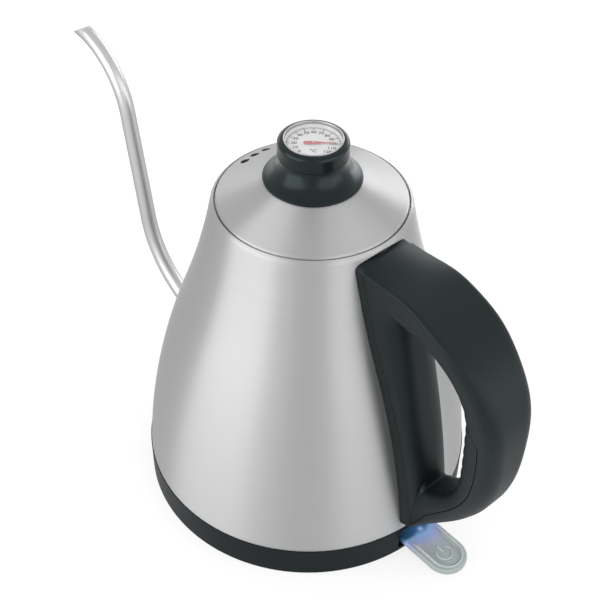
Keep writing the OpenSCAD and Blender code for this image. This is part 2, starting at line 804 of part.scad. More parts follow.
// A point of the handle's outer face at a turn round its outline, and the half-width at a height
function outline_at(turn) = turn > 0
    ? [bend_high_cx + bend_high_r * cos(turn), bend_high_cz + bend_high_r * sin(turn)]
    : [bend_low_cx + bend_low_r * cos(turn), bend_low_z + bend_low_r * sin(turn)];
function width_at(z) = handle_foot_w
    + (handle_top_w - handle_foot_w) * (z - handle_foot_z) / (handle_top_z - handle_foot_z);
// The edges are cut back most at the grip, less at the top and least at the foot
function cut_at(turn) = edge_cut * (turn > 0
    ? 1 - top_ease * pow(turn / 90, 2)
    : 1 + foot_ease * turn / bend_low_turn);

// Blocks that cut back the edges between the outer face and the sides, at some turns round the outline
module edge_cuts(inset, turns) {
    for (turn = turns) for (side = [0, 1]) {
        at = outline_at(turn);
        mirror([0, side, 0]) translate([at[0], width_at(at[1]) - cut_at(turn) - inset * sqrt(2), at[1]])
            rotate([0, -turn, 0]) rotate([0, 0, 45])
                translate([0, -cutter / 2, -cutter / 2]) cube(cutter);
    }
}

// The whole handle block, outside the finger opening
module handle_block(inset) {
    difference() {
        intersection() {
            slab(slab_w) difference() {
                polygon(handle_outline(inset));
                polygon(finger_outline(inset));
            }
            handle_taper(inset);
        }
        edge_cuts(inset, edge_turns);
    }
}

// The stretch of the handle that the inner cover fills, less a gap at its edges
module cover_zone(gap) {
    r = bend_low_r - parting_in - gap;
    column_x = body_at(finger_foot_z) + column_foot_t + gap;
    low_end = [bend_low_cx + r * cos(bend_low_turn), bend_low_z - r * sin(bend_low_turn)];
    run = (low_end[0] - column_x) / sin(bend_low_turn);
    slab(slab_w) polygon(concat(
        [[column_x, finger_z], [column_x, low_end[1] - run * cos(bend_low_turn)]],
        arc(bend_low_cx, bend_low_z, r, -bend_low_turn, 0, arc_steps),
        [[grip_x - parting_in - gap, parting_top_z - parting_in - gap],
            [grip_x - grip_t - gap - 2, parting_top_z + 2 - gap]]
    ));
}

stud_r = 4;
stud_len = 4.4;
mount_screw_r = 1.9;
mount_head_r = 3.4;
// The lower stud's screw head clears the wall under the finger opening by this much
stud_clear = 1;
stud_zs = [finger_foot_z - handle_wall - mount_head_r - stud_clear, finger_top_z - 6];
mount_head_h = 2.2;
cover_screw_zs = [bend_low_z - 20, bend_low_z + 8];
cover_screw_r = 1.4;
cover_head_r = 2.5;
cover_head_h = 1.4;
cover_seat = 2;
post_r = 3;
boss_out_r = 3.6;
cover_screw_x = grip_x - grip_t;
cover_screw_len = grip_t - parting_in + 0.5;

// A shape on each stud's axis, which points along +X from the body's wall
module at_studs() {
    for (z = stud_zs) translate([body_at(z), 0, z]) rotate([0, 90, 0]) children();
}

// A shape on each cover screw's axis, from the grip's inner face outwards
module at_cover_screws() {
    for (z = cover_screw_zs) translate([cover_screw_x, 0, z]) rotate([0, 90, 0]) children();
}

module handle_studs() {
    color("lightgray") difference() {
        at_studs() translate([0, 0, -4]) cylinder(h = stud_len + 4, r = stud_r);
        body_plug(-snug, ring_h, handle_top_z + 2);
        at_studs() translate([0, 0, 1.2]) cylinder(h = stud_len, r = mount_screw_r + snug);
    }
}

module handle_mount() {
    color("#34393b") difference() {
        intersection() {
            slab(slab_w) polygon(handle_outline(0));
            handle_taper(0);
            body_plug(-mount_t, ring_h, handle_top_z + 2);
        }
        edge_cuts(0, [90]);
        body_plug(-mount_gap, ring_h - over, handle_top_z + 3);
        at_studs() translate([0, 0, -4]) cylinder(h = stud_len + 4 + snug, r = stud_r + 2 * snug);
        at_studs() cylinder(h = 12, r = mount_screw_r + clear);
        at_studs() translate([0, 0, mount_t - 0.4]) cylinder(h = 12, r = mount_head_r + clear);
    }
}

module mount_screws() {
    color("gray") at_studs() {
        translate([0, 0, 1.6]) cylinder(h = mount_t - 2, r = mount_screw_r);
        translate([0, 0, mount_t - 0.4]) cylinder(h = mount_head_h, r = mount_head_r);
    }
}

module handle_shell() {
    color("#2b3032") difference() {
        union() {
            difference() {
                handle_block(0);
                handle_block(handle_wall);
            }
            intersection() {
                at_cover_screws() cylinder(h = grip_t, r = post_r);
                handle_block(handle_wall / 2);
            }
        }
        cover_zone(0);
        body_plug(-mount_t - 2 * snug, ring_h - over, handle_top_z + 3);
        at_cover_screws() cylinder(h = cover_screw_len + 2.4, r = cover_screw_r + snug);
    }
}

module handle_cover() {
    color("#25292b") difference() {
        union() {
            difference() {
                intersection() {
                    handle_block(0);
                    cover_zone(parting_gap);
                }
                handle_block(handle_wall);
            }
            intersection() {
                at_cover_screws() translate([0, 0, 1]) cylinder(h = grip_t, r = boss_out_r);
                cover_zone(parting_gap);
            }
        }
        slab(slab_w) polygon(finger_outline(0));
        at_cover_screws() {
            translate([0, 0, cover_seat - grip_t]) cylinder(h = grip_t, r = cover_head_r + clear);
            cylinder(h = grip_t, r = cover_screw_r + clear);
        }
    }
}

module cover_screws() {
    color("gray") at_cover_screws() {
        translate([0, 0, cover_seat]) cylinder(h = cover_screw_len, r = cover_screw_r);
        translate([0, 0, cover_seat - cover_head_h]) cylinder(h = cover_head_h, r = cover_head_r);
    }
}

module lid_shell() {
    in_top = lid_top_z - lid_t;
    color("silver") difference() {
        turned() difference() {
            union() {
                polygon([
                    [0, rim_z], [lid_r, rim_z], [lid_r, rim_z + rim_h], [lid_edge_r, lid_edge_z],
                    [lid_top_r, lid_top_z], [0, lid_top_z]
                ]);
                translate([lid_r - rim_round, rim_z + rim_h]) circle(rim_round);
            }
            polygon([
                [-over, rim_z - over], [lid_r - lid_t, rim_z - over], [lid_r - lid_t, rim_z + rim_h],
                [lid_edge_r - lid_t, cone_z(lid_edge_r - lid_t) - lid_slope_t],
                [lid_top_r, in_top], [-over, in_top]
            ]);
        }
        translate([0, 0, in_top - over]) cylinder(h = lid_t + 2 * over, r = spigot_r + snug);
        for (i = [0 : vent_n - 1]) rotate([0, 0, vent_bearing + (i - (vent_n - 1) / 2) * vent_step])
            translate([vent_r, 0, cone_z(vent_r)]) rotate([0, lid_pitch, 0])
                cylinder(h = 6, r = vent_d / 2, center = true);
    }
}

module lid_skirt() {
    top_out = cone_z(skirt_r) - lid_slope_t - snug;
    top_in = cone_z(skirt_r - lid_t) - lid_slope_t - snug;
    color("gainsboro") turned() polygon([
        [skirt_r, seat_z - skirt_depth], [skirt_r, top_out], [skirt_r - lid_t, top_in],
        [skirt_r - lid_t, seat_z - skirt_depth]
    ]);
}

module lid_gasket() {
    lip = 0.45;
    color("#d8d8d4") turned() polygon([
        [skirt_r + snug, gasket_z], [gasket_r - lip, gasket_z], [gasket_r, gasket_z + gasket_h / 2],
        [gasket_r - lip, gasket_z + gasket_h], [skirt_r + snug, gasket_z + gasket_h]
    ]);
}

module lid_knob() {
    head_z = knob_top_z - head_h;
    flare_r = flange_r - 0.5 - knob_waist_r;
    flare_h = head_z - lid_top_z - flange_lip;
    round_r = 1.6;
    color("#202325") difference() {
        union() {
            turned() polygon(concat(
                [[0, lid_top_z], [flange_r, lid_top_z], [flange_r, lid_top_z + flange_lip - 0.4]],
                [for (a = [0 : 15 : 90]) [knob_waist_r + flare_r * (1 - sin(a)),
                    lid_top_z + flange_lip + flare_h * (1 - cos(a))]],
                [[head_r - 0.8, head_z + 0.6], [head_r, head_z + 3]],
                arc(head_r - round_r, knob_top_z - round_r, round_r, 0, 90, 6),
                [[0, knob_top_z]]
            ));
            translate([0, 0, lid_top_z - spigot_len]) cylinder(h = spigot_len + over, r = spigot_r);
        }
        translate([0, 0, case_z]) cylinder(h = case_h + over, r = case_r + snug);
        translate([0, 0, lid_top_z - spigot_len - over])
            cylinder(h = knob_h + spigot_len, r = probe_r + snug);
    }
}

module knob_washer() {
    color("#c9c9c4") translate([0, 0, lid_top_z - lid_t - washer_t]) difference() {
        cylinder(h = washer_t, r = washer_r);
        translate([0, 0, -over]) cylinder(h = washer_t + 2 * over, r = spigot_r + snug);
    }
}

module knob_nut() {
    color("silver") translate([0, 0, lid_top_z - lid_t - washer_t - nut_h]) difference() {
        cylinder(h = nut_h, r = nut_af / sqrt(3), $fn = 6);
        translate([0, 0, -over]) cylinder(h = nut_h + 2 * over, r = spigot_r + snug);
    }
}

module thermometer_case() {
    color("lightgray") difference() {
        translate([0, 0, case_z]) cylinder(h = case_h, r = case_r);
        translate([0, 0, case_z + case_t]) cylinder(h = case_h, r = case_r - case_t);
        translate([0, 0, case_z - over]) cylinder(h = 3, r = probe_r + snug);
    }
}

module thermometer_bezel() {
    color("whitesmoke") turned() polygon([
        [case_r - bezel_w, knob_top_z], [case_r, knob_top_z], [case_r, knob_top_z + bezel_h * 0.6],
        [case_r - bezel_w / 2, knob_top_z + bezel_h], [case_r - bezel_w, knob_top_z + bezel_h * 0.4]
    ]);
}

module thermometer_lens() {
    color("lightcyan", 0.3) translate([0, 0, lens_z]) cylinder(h = lens_t, r = lens_r);
}

module dial_plate() {
    color("white") difference() {
        translate([0, 0, dial_z]) cylinder(h = dial_t, r = lens_r);
        translate([0, 0, dial_z - over]) cylinder(h = 3, r = shaft_r + running);
    }
}

module dial_pointer() {
    tip_w = 0.25;
    root_w = 0.9;
    color("crimson") translate([0, 0, pointer_z]) rotate([0, 0, pointer_bearing])
        linear_extrude(pointer_t) difference() {
            union() {
                circle(pointer_hub_r);
                polygon([
                    [-pointer_tail, -root_w], [pointer_len, -tip_w],
                    [pointer_len, tip_w], [-pointer_tail, root_w]
                ]);
            }
            circle(shaft_r + snug / 2);
        }
}

module pointer_shaft() {
    shaft_z = probe_tip_z + 3;
    color("silver") translate([0, 0, shaft_z]) cylinder(h = pointer_z + pointer_t - shaft_z, r = shaft_r);
}

module probe_stem() {
    stem_top = case_z + case_t;
    round_z = probe_tip_z + probe_r;
    color("silver") difference() {
        union() {
            translate([0, 0, round_z]) cylinder(h = stem_top - round_z, r = probe_r);
            translate([0, 0, round_z]) sphere(probe_r);
        }
        translate([0, 0, round_z]) cylinder(h = stem_top, r = probe_bore);
    }
}

module bimetal_helix() {
    color("peru") translate([0, 0, probe_tip_z + probe_r + 2])
        linear_extrude(helix_len, twist = -360 * helix_turns, slices = 8 * helix_turns, $fn = 4)
            translate([helix_r - helix_t, -helix_w / 4]) square([helix_t, helix_w / 2]);
}

body_shell();
mouth_ring();
vessel_floor();
spout_tube();
steam_pipe();
heat_spreader();
heating_element();
element_pins();
control_body();
control_tabs();
control_screws();
snap_discs();
earth_pin();
contact_ring();
base_ring();
base_cover();
base_standoffs();
base_screws();
switch_frame();
steam_cap();
steam_bimetal();
trip_pin();
lever_pin();
switch_lever();
lever_led();
contact_leaf();
fixed_contact();
lead_wires();
handle_studs();
handle_mount();
mount_screws();
handle_shell();
handle_cover();
cover_screws();
lid_shell();
lid_skirt();
lid_gasket();
lid_knob();
knob_washer();
knob_nut();
thermometer_case();
thermometer_bezel();
thermometer_lens();
dial_plate();
dial_pointer();
pointer_shaft();
probe_stem();
bimetal_helix();
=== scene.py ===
"""Looks for a gooseneck kettle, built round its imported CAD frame.

Shapes are worked out in millimetres in the CAD's own frame, with its origin under the middle of the
base, +Z up, +X to the handle and -X to the spout. They are written to the meshes in metres.
"""

from __future__ import annotations

import logging
import math
from dataclasses import dataclass, field
from enum import Enum, IntEnum

import bpy
import numpy as np
from mathutils import Matrix, Vector


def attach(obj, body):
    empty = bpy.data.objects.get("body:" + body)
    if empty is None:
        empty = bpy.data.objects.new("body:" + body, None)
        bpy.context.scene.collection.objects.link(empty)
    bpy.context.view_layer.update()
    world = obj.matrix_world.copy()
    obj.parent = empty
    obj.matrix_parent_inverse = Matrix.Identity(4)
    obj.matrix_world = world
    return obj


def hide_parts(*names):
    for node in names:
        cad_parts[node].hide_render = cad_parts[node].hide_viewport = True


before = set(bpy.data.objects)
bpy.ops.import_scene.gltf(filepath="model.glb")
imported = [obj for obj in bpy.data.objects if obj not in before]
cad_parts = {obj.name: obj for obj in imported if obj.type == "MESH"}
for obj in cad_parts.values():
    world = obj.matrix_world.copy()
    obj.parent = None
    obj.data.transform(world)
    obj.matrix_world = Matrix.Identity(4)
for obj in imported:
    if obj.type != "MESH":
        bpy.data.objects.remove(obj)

LOG = logging.getLogger("kettle")
MM = 0.001
WELD_DIGITS = 4
NEAR_END = 0.07
UNIT = (0.0, 1.0)
NOISE_MIDDLE = (0.3, 0.7)
ACRYLIC_IOR = 1.49
CLOUD_GLOSS = 0.15

Pair = tuple[float, float]
Place = tuple[float, float, float]
Colour = tuple[float, float, float]
Table = tuple[Pair, ...]
Socket = bpy.types.NodeSocket


# Surfaces


@dataclass
class Surface:
    """Points of a piece in millimetres, and the faces between them."""

    points: np.ndarray
    faces: list[np.ndarray]

    def volume(self) -> float:
        """Adds up the volumes between the origin and every face's triangles.

        Returns:
            The volume inside, positive when the faces look outward.
        """
        total = 0.0
        for block in self.faces:
            a = self.points[block[:, 0]]
            for k in range(1, block.shape[1] - 1):
                b, c = self.points[block[:, k]], self.points[block[:, k + 1]]
                total += float(np.einsum("ij,ij->i", a, np.cross(b, c)).sum())
        return total / 6

    def outward(self) -> Surface:
        """Turns the faces of a closed surface outward.

        Returns:
            This surface.
        """
        if self.volume() < 0:
            self.faces = [block[:, ::-1] for block in self.faces]
        return self

    def joined(self, *others: Surface) -> Surface:
        """Puts surfaces together.

        Args:
            others: The surfaces to add to this one.

        Returns:
            One surface that holds them all.
        """
        points, faces, start = [self.points], list(self.faces), len(self.points)
        for other in others:
            points.append(other.points)
            faces += [block + start for block in other.faces]
            start += len(other.points)
        return Surface(np.concatenate(points), faces)

    def welded(self) -> Surface:
        """Makes points at one place one point, and leaves out faces without area.

        Returns:
            The welded surface.
        """
        places = np.round(self.points, WELD_DIGITS)
        _, first, back = np.unique(places, axis=0, return_index=True, return_inverse=True)
        faces: list[np.ndarray] = []
        for block in self.faces:
            block = back.reshape(-1)[block]
            same = block == np.roll(block, -1, 1)
            repeats = same.sum(1)
            faces.append(block[repeats == 0])
            if block.shape[1] == 4:
                faces.append(block[repeats == 1][~same[repeats == 1]].reshape(-1, 3))
        return Surface(self.points[first], [block for block in faces if len(block)])

    def moved(self, matrix: np.ndarray) -> Surface:
        """This surface carried by a 4 x 4 matrix in millimetres."""
        return Surface(self.points @ matrix[:3, :3].T + matrix[:3, 3], self.faces)


def skin(points: np.ndarray, around: bool = True, along: bool = False, capped: bool = False) -> Surface:
    """Lays quads between neighbours of a grid of points.

    Args:
        points: Grid of shape (rows, columns, 3) in millimetres.
        around: Whether the last column joins the first.
        along: Whether the last row joins the first.
        capped: Whether the first and last rows are closed by fans to their middles.

    Returns:
        The surface, with its faces looking outward.
    """
    rows, columns = points.shape[:2]
    index = np.arange(rows * columns).reshape(rows, columns)
    here, beyond = (index, np.roll(index, -1, 0)) if along else (index[:-1], index[1:])

    def sides(block: np.ndarray) -> tuple[np.ndarray, np.ndarray]:
        """A block of indices, and the same block one column on."""
        return (block, np.roll(block, -1, 1)) if around else (block[:, :-1], block[:, 1:])

    (a, b), (d, c) = sides(here), sides(beyond)
    faces = [np.stack([a, b, c, d], -1).reshape(-1, 4)]
    flat = points.reshape(-1, 3)
    if capped:
        for row, turn in ((0, -1), (rows - 1, 1)):
            ring = index[row]
            middle = np.full(columns, len(flat))
            flat = np.vstack([flat, points[row].mean(0)])
            fan = np.stack([ring, np.roll(ring, -1), middle], -1)
            faces.append(fan[:, ::turn])
    return Surface(flat, faces).outward()


def polar(radius: np.ndarray | float, angle: np.ndarray, z: np.ndarray | float) -> np.ndarray:
    """Points (radius cos angle, radius sin angle, z), with the three spread to one shape."""
    return np.stack(np.broadcast_arrays(radius * np.cos(angle), radius * np.sin(angle), z), -1)


def full_turn(steps: int) -> np.ndarray:
    """Angles in radians round a whole turn, without its end."""
    return np.linspace(0, 2 * np.pi, steps, endpoint=False)


def lathe(profile: np.ndarray, ring: bool, segments: int = 144) -> Surface:
    """Turns a profile about +Z: point (r, z) at angle a lies at (r cos a, r sin a, z).

    Args:
        profile: Points (r, z) along the outline, in millimetres.
        ring: Whether the outline is closed, as for a ring; otherwise its ends are capped.
        segments: Steps in a turn.

    Returns:
        The turned surface.
    """
    r, z = profile[:, :1], profile[:, 1:]
    points = polar(r, full_turn(segments), z)
    return skin(points, along=ring, capped=not ring)


def arc(cx: float, cz: float, radius: float, start: float, end: float, steps: int) -> np.ndarray:
    """Points of a circle's arc between two angles in degrees."""
    a = np.radians(np.linspace(start, end, steps))
    return np.stack([cx + radius * np.cos(a), cz + radius * np.sin(a)], -1)


def line(start: np.ndarray, end: np.ndarray, count: int) -> np.ndarray:
    """Points spread evenly from one place to another."""
    return start + (end - start) * np.linspace(0, 1, count)[:, None]


def bow(start: np.ndarray, pull: np.ndarray, end: np.ndarray, count: int) -> np.ndarray:
    """Points of the curve from one place to another that is drawn to a third."""
    t = np.linspace(0, 1, count)[:, None]
    return start * (1 - t) ** 2 + 2 * pull * t * (1 - t) + end * t**2


def rounded(corners: list[Place], closed: bool = True, steps: int = 7) -> np.ndarray:
    """Draws an outline through corners (x, y, radius), each turned by an arc of its radius.

    Each straight also gets a point near either end, which keeps its shading flat.

    Args:
        corners: Corner places and radii in millimetres.
        closed: Whether the last corner joins the first.
        steps: Points on each arc.

    Returns:
        Points (x, y) along the outline.
    """
    spots = np.array([c[:2] for c in corners], float)
    turns: list[np.ndarray] = []
    for k, (x, y, radius) in enumerate(corners):
        p = np.array([x, y])
        at_end = not closed and k in (0, len(corners) - 1)
        if at_end or radius <= 0:
            turns.append(p[None])
            continue
        a = spots[k - 1] - p
        b = spots[(k + 1) % len(spots)] - p
        a, b = a / np.linalg.norm(a), b / np.linalg.norm(b)
        half = math.acos(float(np.clip(a @ b, -1, 1))) / 2
        centre = p + (a + b) / np.linalg.norm(a + b) * radius / math.sin(half)
        reach = radius / math.tan(half)
        first, last = p + a * reach - centre, p + b * reach - centre
        begin = math.atan2(first[1], first[0])
        sweep = (math.atan2(last[1], last[0]) - begin + math.pi) % (2 * math.pi) - math.pi
        angle = begin + sweep * np.linspace(0, 1, steps)
        turns.append(centre + radius * np.stack([np.cos(angle), np.sin(angle)], -1))
    outline: list[np.ndarray] = []
    for k, turn in enumerate(turns):
        outline.append(turn)
        if closed or k + 1 < len(turns):
            leave, ahead = turn[-1:], turns[(k + 1) % len(turns)][0]
            outline += [leave + (ahead - leave) * share for share in (NEAR_END, 1 - NEAR_END)]
    return np.concatenate(outline)


def tube(path: np.ndarray, radius: np.ndarray, side: np.ndarray, columns: int) -> Surface:
    """Carries a round section along a path and caps its ends.

    A ring at path point p is p + radius (cos a side + sin a (along x side)).

    Args:
        path: Points (n, 3) in millimetres.
        radius: A radius for each path point.
        side: Unit vector across the path.
        columns: Steps round the section.

    Returns:
        The closed surface.
    """
    along = np.gradient(path, axis=0)
    along /= np.linalg.norm(along, axis=1, keepdims=True)
    side = np.broadcast_to(side, path.shape)
    cross = np.cross(along, side)
    a = full_turn(columns)[None, :, None]
    ring = np.cos(a) * side[:, None] + np.sin(a) * cross[:, None]
    return skin(path[:, None] + radius[:, None, None] * ring, capped=True)


def smooth_step(low: float, high: float, value: np.ndarray) -> np.ndarray:
    """Smooth rise from 0 at low to 1 at high."""
    t = np.clip((value - low) / (high - low), 0, 1)
    return t * t * (3 - 2 * t)


def tabled(at: np.ndarray, table: Table) -> np.ndarray:
    """Numbers between those that a table of (place, number) gives."""
    places, numbers = zip(*table)
    return np.interp(at, places, numbers)


def eased(values: np.ndarray, half: int) -> np.ndarray:
    """Smooths columns of numbers down their rows by a bell of weights, with their ends held.

    Args:
        values: Rows of numbers.
        half: Rows on either side that count.

    Returns:
        The smoothed rows.
    """
    bell = np.hanning(2 * half + 3)[1:-1]
    front, back = 2 * values[0] - values[half:0:-1], 2 * values[-1] - values[-2 : -half - 2 : -1]
    long = np.concatenate([front, values, back])
    return np.stack([np.convolve(column, bell / bell.sum(), "valid") for column in long.T], -1)


# Finishes


def srgb(red: float, green: float, blue: float) -> Colour:
    """Linear colour of an sRGB colour given in 0 to 255."""
    c = np.array([red, green, blue]) / 255
    return tuple(float(v) for v in np.where(c <= 0.04045, c / 12.92, ((c + 0.055) / 1.055) ** 2.4))


def shades(colour: Colour, swing: float) -> list[Colour]:
    """A colour made darker and lighter by a share."""
    return [tuple(min(1.0, c * (1 + way * swing)) for c in colour) for way in (-1, 1)]


class Nodes:
    """A node tree, with short calls for the nodes that finishes and studio share."""

    def __init__(self, tree: bpy.types.NodeTree) -> None:
        """Takes up a tree."""
        self.tree = tree

    def add(self, kind: str, *inputs: object, **settings: object) -> bpy.types.Node:
        """Adds a node.

        Args:
            kind: The node's type.
            inputs: What its first sockets are fed, in order.
            settings: Its properties.

        Returns:
            The new node.
        """
        node = self.tree.nodes.new(kind)
        for key, value in settings.items():
            setattr(node, key, value)
        for socket, value in zip(node.inputs, inputs):
            self.feed(socket, value)
        return node

    def feed(self, socket: Socket, value: object) -> None:
        """Links a socket to another, or sets it to a number, vector or colour.

        Args:
            socket: The socket to feed.
            value: Another socket, or what to set.
        """
        if isinstance(value, bpy.types.NodeSocket):
            self.tree.links.new(value, socket)
        elif socket.type == "RGBA":
            socket.default_value = (*value, 1.0)
        else:
            socket.default_value = value

    def maths(self, operation: str, first: object, second: object = 0.0) -> Socket:
        """Result of a sum on two numbers."""
        return self.add("ShaderNodeMath", first, second, operation=operation).outputs[0]

    def squared(self, value: Socket) -> Socket:
        """A number times itself."""
        return self.maths("MULTIPLY", value, value)

    def span(self, value: object, source: Pair, target: Pair) -> Socket:
        """Value carried from one range to another and held at its ends."""
        return self.add("ShaderNodeMapRange", value, *source, *target).outputs["Result"]

    def seen_rays(self) -> Socket:
        """Marks the rays that show the room's white.

        Returns:
            1 for rays from the camera, off a shiny piece or through a clear one, else 0.
        """
        path = self.add("ShaderNodeLightPath").outputs
        shown = self.maths("MAXIMUM", path["Is Camera Ray"], path["Is Glossy Ray"])
        return self.maths("MAXIMUM", shown, path["Is Transmission Ray"])


class Graph(Nodes):
    """A material's nodes, whose shader is the standard one."""

    def __init__(self, name: str) -> None:
        """Starts a material.

        Args:
            name: The material's name.
        """
        self.material = bpy.data.materials.new(name)
        self.material.use_nodes = True
        super().__init__(self.material.node_tree)
        self.shader = self.tree.nodes["Principled BSDF"]
        self.place = self.add("ShaderNodeTexCoord").outputs["Object"]

    def axes(self) -> bpy.types.NodeOutputs:
        """The shaded point's x, y and z in metres."""
        return self.add("ShaderNodeSeparateXYZ", self.place).outputs

    def distance(self, place: Place) -> Socket:
        """Distance in metres from a place given in millimetres."""
        spot = tuple(v * MM for v in place)
        return self.add("ShaderNodeVectorMath", self.place, spot, operation="DISTANCE").outputs["Value"]

    def noise(self, scale: float, detail: float, vector: Socket | None = None) -> Socket:
        """Adds soft noise.

        Args:
            scale: Marks per metre, about.
            detail: How many finer noises it holds.
            vector: What it runs over; the shaded point when left out.

        Returns:
            Numbers from 0 to 1.
        """
        node = self.add("ShaderNodeTexNoise", self.place if vector is None else vector)
        node.inputs["Scale"].default_value = scale
        node.inputs["Detail"].default_value = detail
        return node.outputs["Fac"]

    def blend(self, share: object, first: object, second: object) -> Socket:
        """Mixes two colours.

        Args:
            share: How much of the second is in the mix.
            first: The first colour.
            second: The second colour.

        Returns:
            The mixed colour.
        """
        node = self.add("ShaderNodeMix", share, data_type="RGBA")
        colours = [socket for socket in node.inputs if socket.type == "RGBA"]
        for socket, value in zip(colours, (first, second)):
            self.feed(socket, value)
        return next(socket for socket in node.outputs if socket.type == "RGBA")

    def mottle(self, share: Socket, colour: Colour, swing: float) -> Socket:
        """A colour that noise makes darker and lighter by a share."""
        return self.blend(self.span(share, NOISE_MIDDLE, UNIT), *shades(colour, swing))

    def gloss(self, share: Socket, roughness: float, swing: float, source: Pair = NOISE_MIDDLE) -> Socket:
        """A roughness that noise makes lower and higher by a share."""
        most = min(1.0, roughness * (1 + swing))
        return self.span(share, source, (roughness * (1 - swing), most))

    def bump(self, height: Socket, strength: float, depth: float) -> None:
        """Gives the shader's normal a fine relief.

        Args:
            height: The relief, from 0 to 1.
            strength: How strongly it shows.
            depth: Its depth in millimetres.
        """
        node = self.add("ShaderNodeBump", strength, depth * MM)
        self.feed(node.inputs["Height"], height)
        self.feed(self.shader.inputs["Normal"], node.outputs["Normal"])

    def set(self, **values: object) -> None:
        """Sets or links shader sockets, named with underscores for spaces."""
        for key, value in values.items():
            self.feed(self.shader.inputs[key.replace("_", " ")], value)


@dataclass(frozen=True)
class Finish:
    """A surface finish that is made into a material once."""

    name: str
    slot: str

    def make(self, graph: Graph) -> None:
        """Builds the finish's nodes."""
        raise NotImplementedError

    def material(self) -> bpy.types.Material:
        """Finds the finish's material, or makes it when it is first asked for.

        Returns:
            The material.
        """
        if self.name not in bpy.data.materials:
            self.make(Graph(self.name))
        return bpy.data.materials[self.name]

    def dress(self, piece: bpy.types.Object) -> None:
        """Gives a piece this finish only."""
        piece.data.materials.clear()
        piece.data.materials.append(self.material())


class Grain(Enum):
    """How a metal's fine marks run."""

    TURNED = "rings about the vertical axis"
    PLAIN = "no one way"


@dataclass(frozen=True)
class Metal(Finish):
    """Metal with fine marks, softened along them when it is turned.

    Scales are in marks per metre. The fine marks take a share of the streaks, and broad ones the rest.
    """

    colour: Colour
    roughness: float
    mark: float
    spread: float = 0.0
    grain: Grain = Grain.PLAIN
    edge: Colour = (0.8, 0.8, 0.8)
    relief: float = 0.12
    relief_depth: float = 0.02
    along: float = 9.0
    across: float = 900.0
    broad: float = 22.0
    fine_share: float = 0.75
    quarter: float = 0.25

    def rings(self, graph: Graph) -> Socket:
        """Draws fine marks out into rings.

        A ring lies at one value of height less radius, so that the same sum serves walls and lids.

        Args:
            graph: The material's nodes.

        Returns:
            Noise that is fine across the rings and long along them.
        """
        x, y, z = graph.axes()
        radius = graph.maths("SQRT", graph.maths("ADD", graph.squared(x), graph.squared(y)))
        ring = graph.maths("SUBTRACT", z, radius)
        scales = ((x, self.along), (y, self.along), (ring, self.across))
        streak = graph.add("ShaderNodeCombineXYZ", *(graph.maths("MULTIPLY", *pair) for pair in scales))
        tangent = graph.add("ShaderNodeTangent", direction_type="RADIAL", axis="Z")
        graph.set(Tangent=tangent.outputs[0], Anisotropic=self.spread, Anisotropic_Rotation=self.quarter)
        return graph.noise(1.0, detail=5.0, vector=streak.outputs[0])

    def make(self, graph: Graph) -> None:
        """Builds streaked colour, gloss and relief.

        Args:
            graph: The material's nodes.
        """
        turned = self.grain is Grain.TURNED
        fine = self.rings(graph) if turned else graph.noise(self.across, detail=4.0)
        broad = graph.noise(self.broad, detail=2.0)
        shares = ((fine, self.fine_share), (broad, 1 - self.fine_share))
        both = graph.maths("ADD", *(graph.maths("MULTIPLY", *pair) for pair in shares))
        graph.set(
            Base_Color=graph.mottle(both, self.colour, self.mark),
            Metallic=1.0,
            Roughness=graph.gloss(both, self.roughness, -2 * self.mark),
            Specular_Tint=self.edge,
        )
        graph.bump(fine, self.relief, self.relief_depth)


@dataclass(frozen=True)
class Plastic(Finish):
    """Moulded plastic or rubber with a faint mottle and a fine moulded grain.

    Scales are in marks per metre, and the grain's depth is in millimetres.
    """

    colour: Colour
    roughness: float
    grain: float
    level: float = 0.5
    tint: Colour = (1.0, 1.0, 1.0)
    broad: float = 60.0
    fine: float = 2600.0
    swing: float = 0.14
    gloss_swing: float = 0.1
    gloss_range: Pair = (0.25, 0.75)
    relief: float = 0.35

    def make(self, graph: Graph) -> None:
        """Builds mottled colour, uneven gloss and grain.

        Args:
            graph: The material's nodes.
        """
        fine, broad = graph.noise(self.fine, detail=2.0), graph.noise(self.broad, detail=3.0)
        graph.set(
            Base_Color=graph.mottle(broad, self.colour, self.swing),
            Roughness=graph.gloss(fine, self.roughness, self.gloss_swing, self.gloss_range),
            Specular_IOR_Level=self.level,
            Specular_Tint=self.tint,
        )
        graph.bump(fine, self.relief, self.grain)


@dataclass(frozen=True)
class Clear(Finish):
    """Clear plastic that is seen through, with a faint cloud."""

    colour: Colour
    roughness: float
    solid: float
    cloud: float = 240.0
    cloudy: float = 0.94

    def make(self, graph: Graph) -> None:
        """Builds clouded colour and gloss.

        Args:
            graph: The material's nodes.
        """
        cloud = graph.noise(self.cloud, detail=2.0)
        graph.set(
            Base_Color=graph.blend(cloud, tuple(c * self.cloudy for c in self.colour), self.colour),
            Roughness=graph.gloss(cloud, self.roughness, CLOUD_GLOSS),
            IOR=ACRYLIC_IOR,
            Alpha=self.solid,
        )


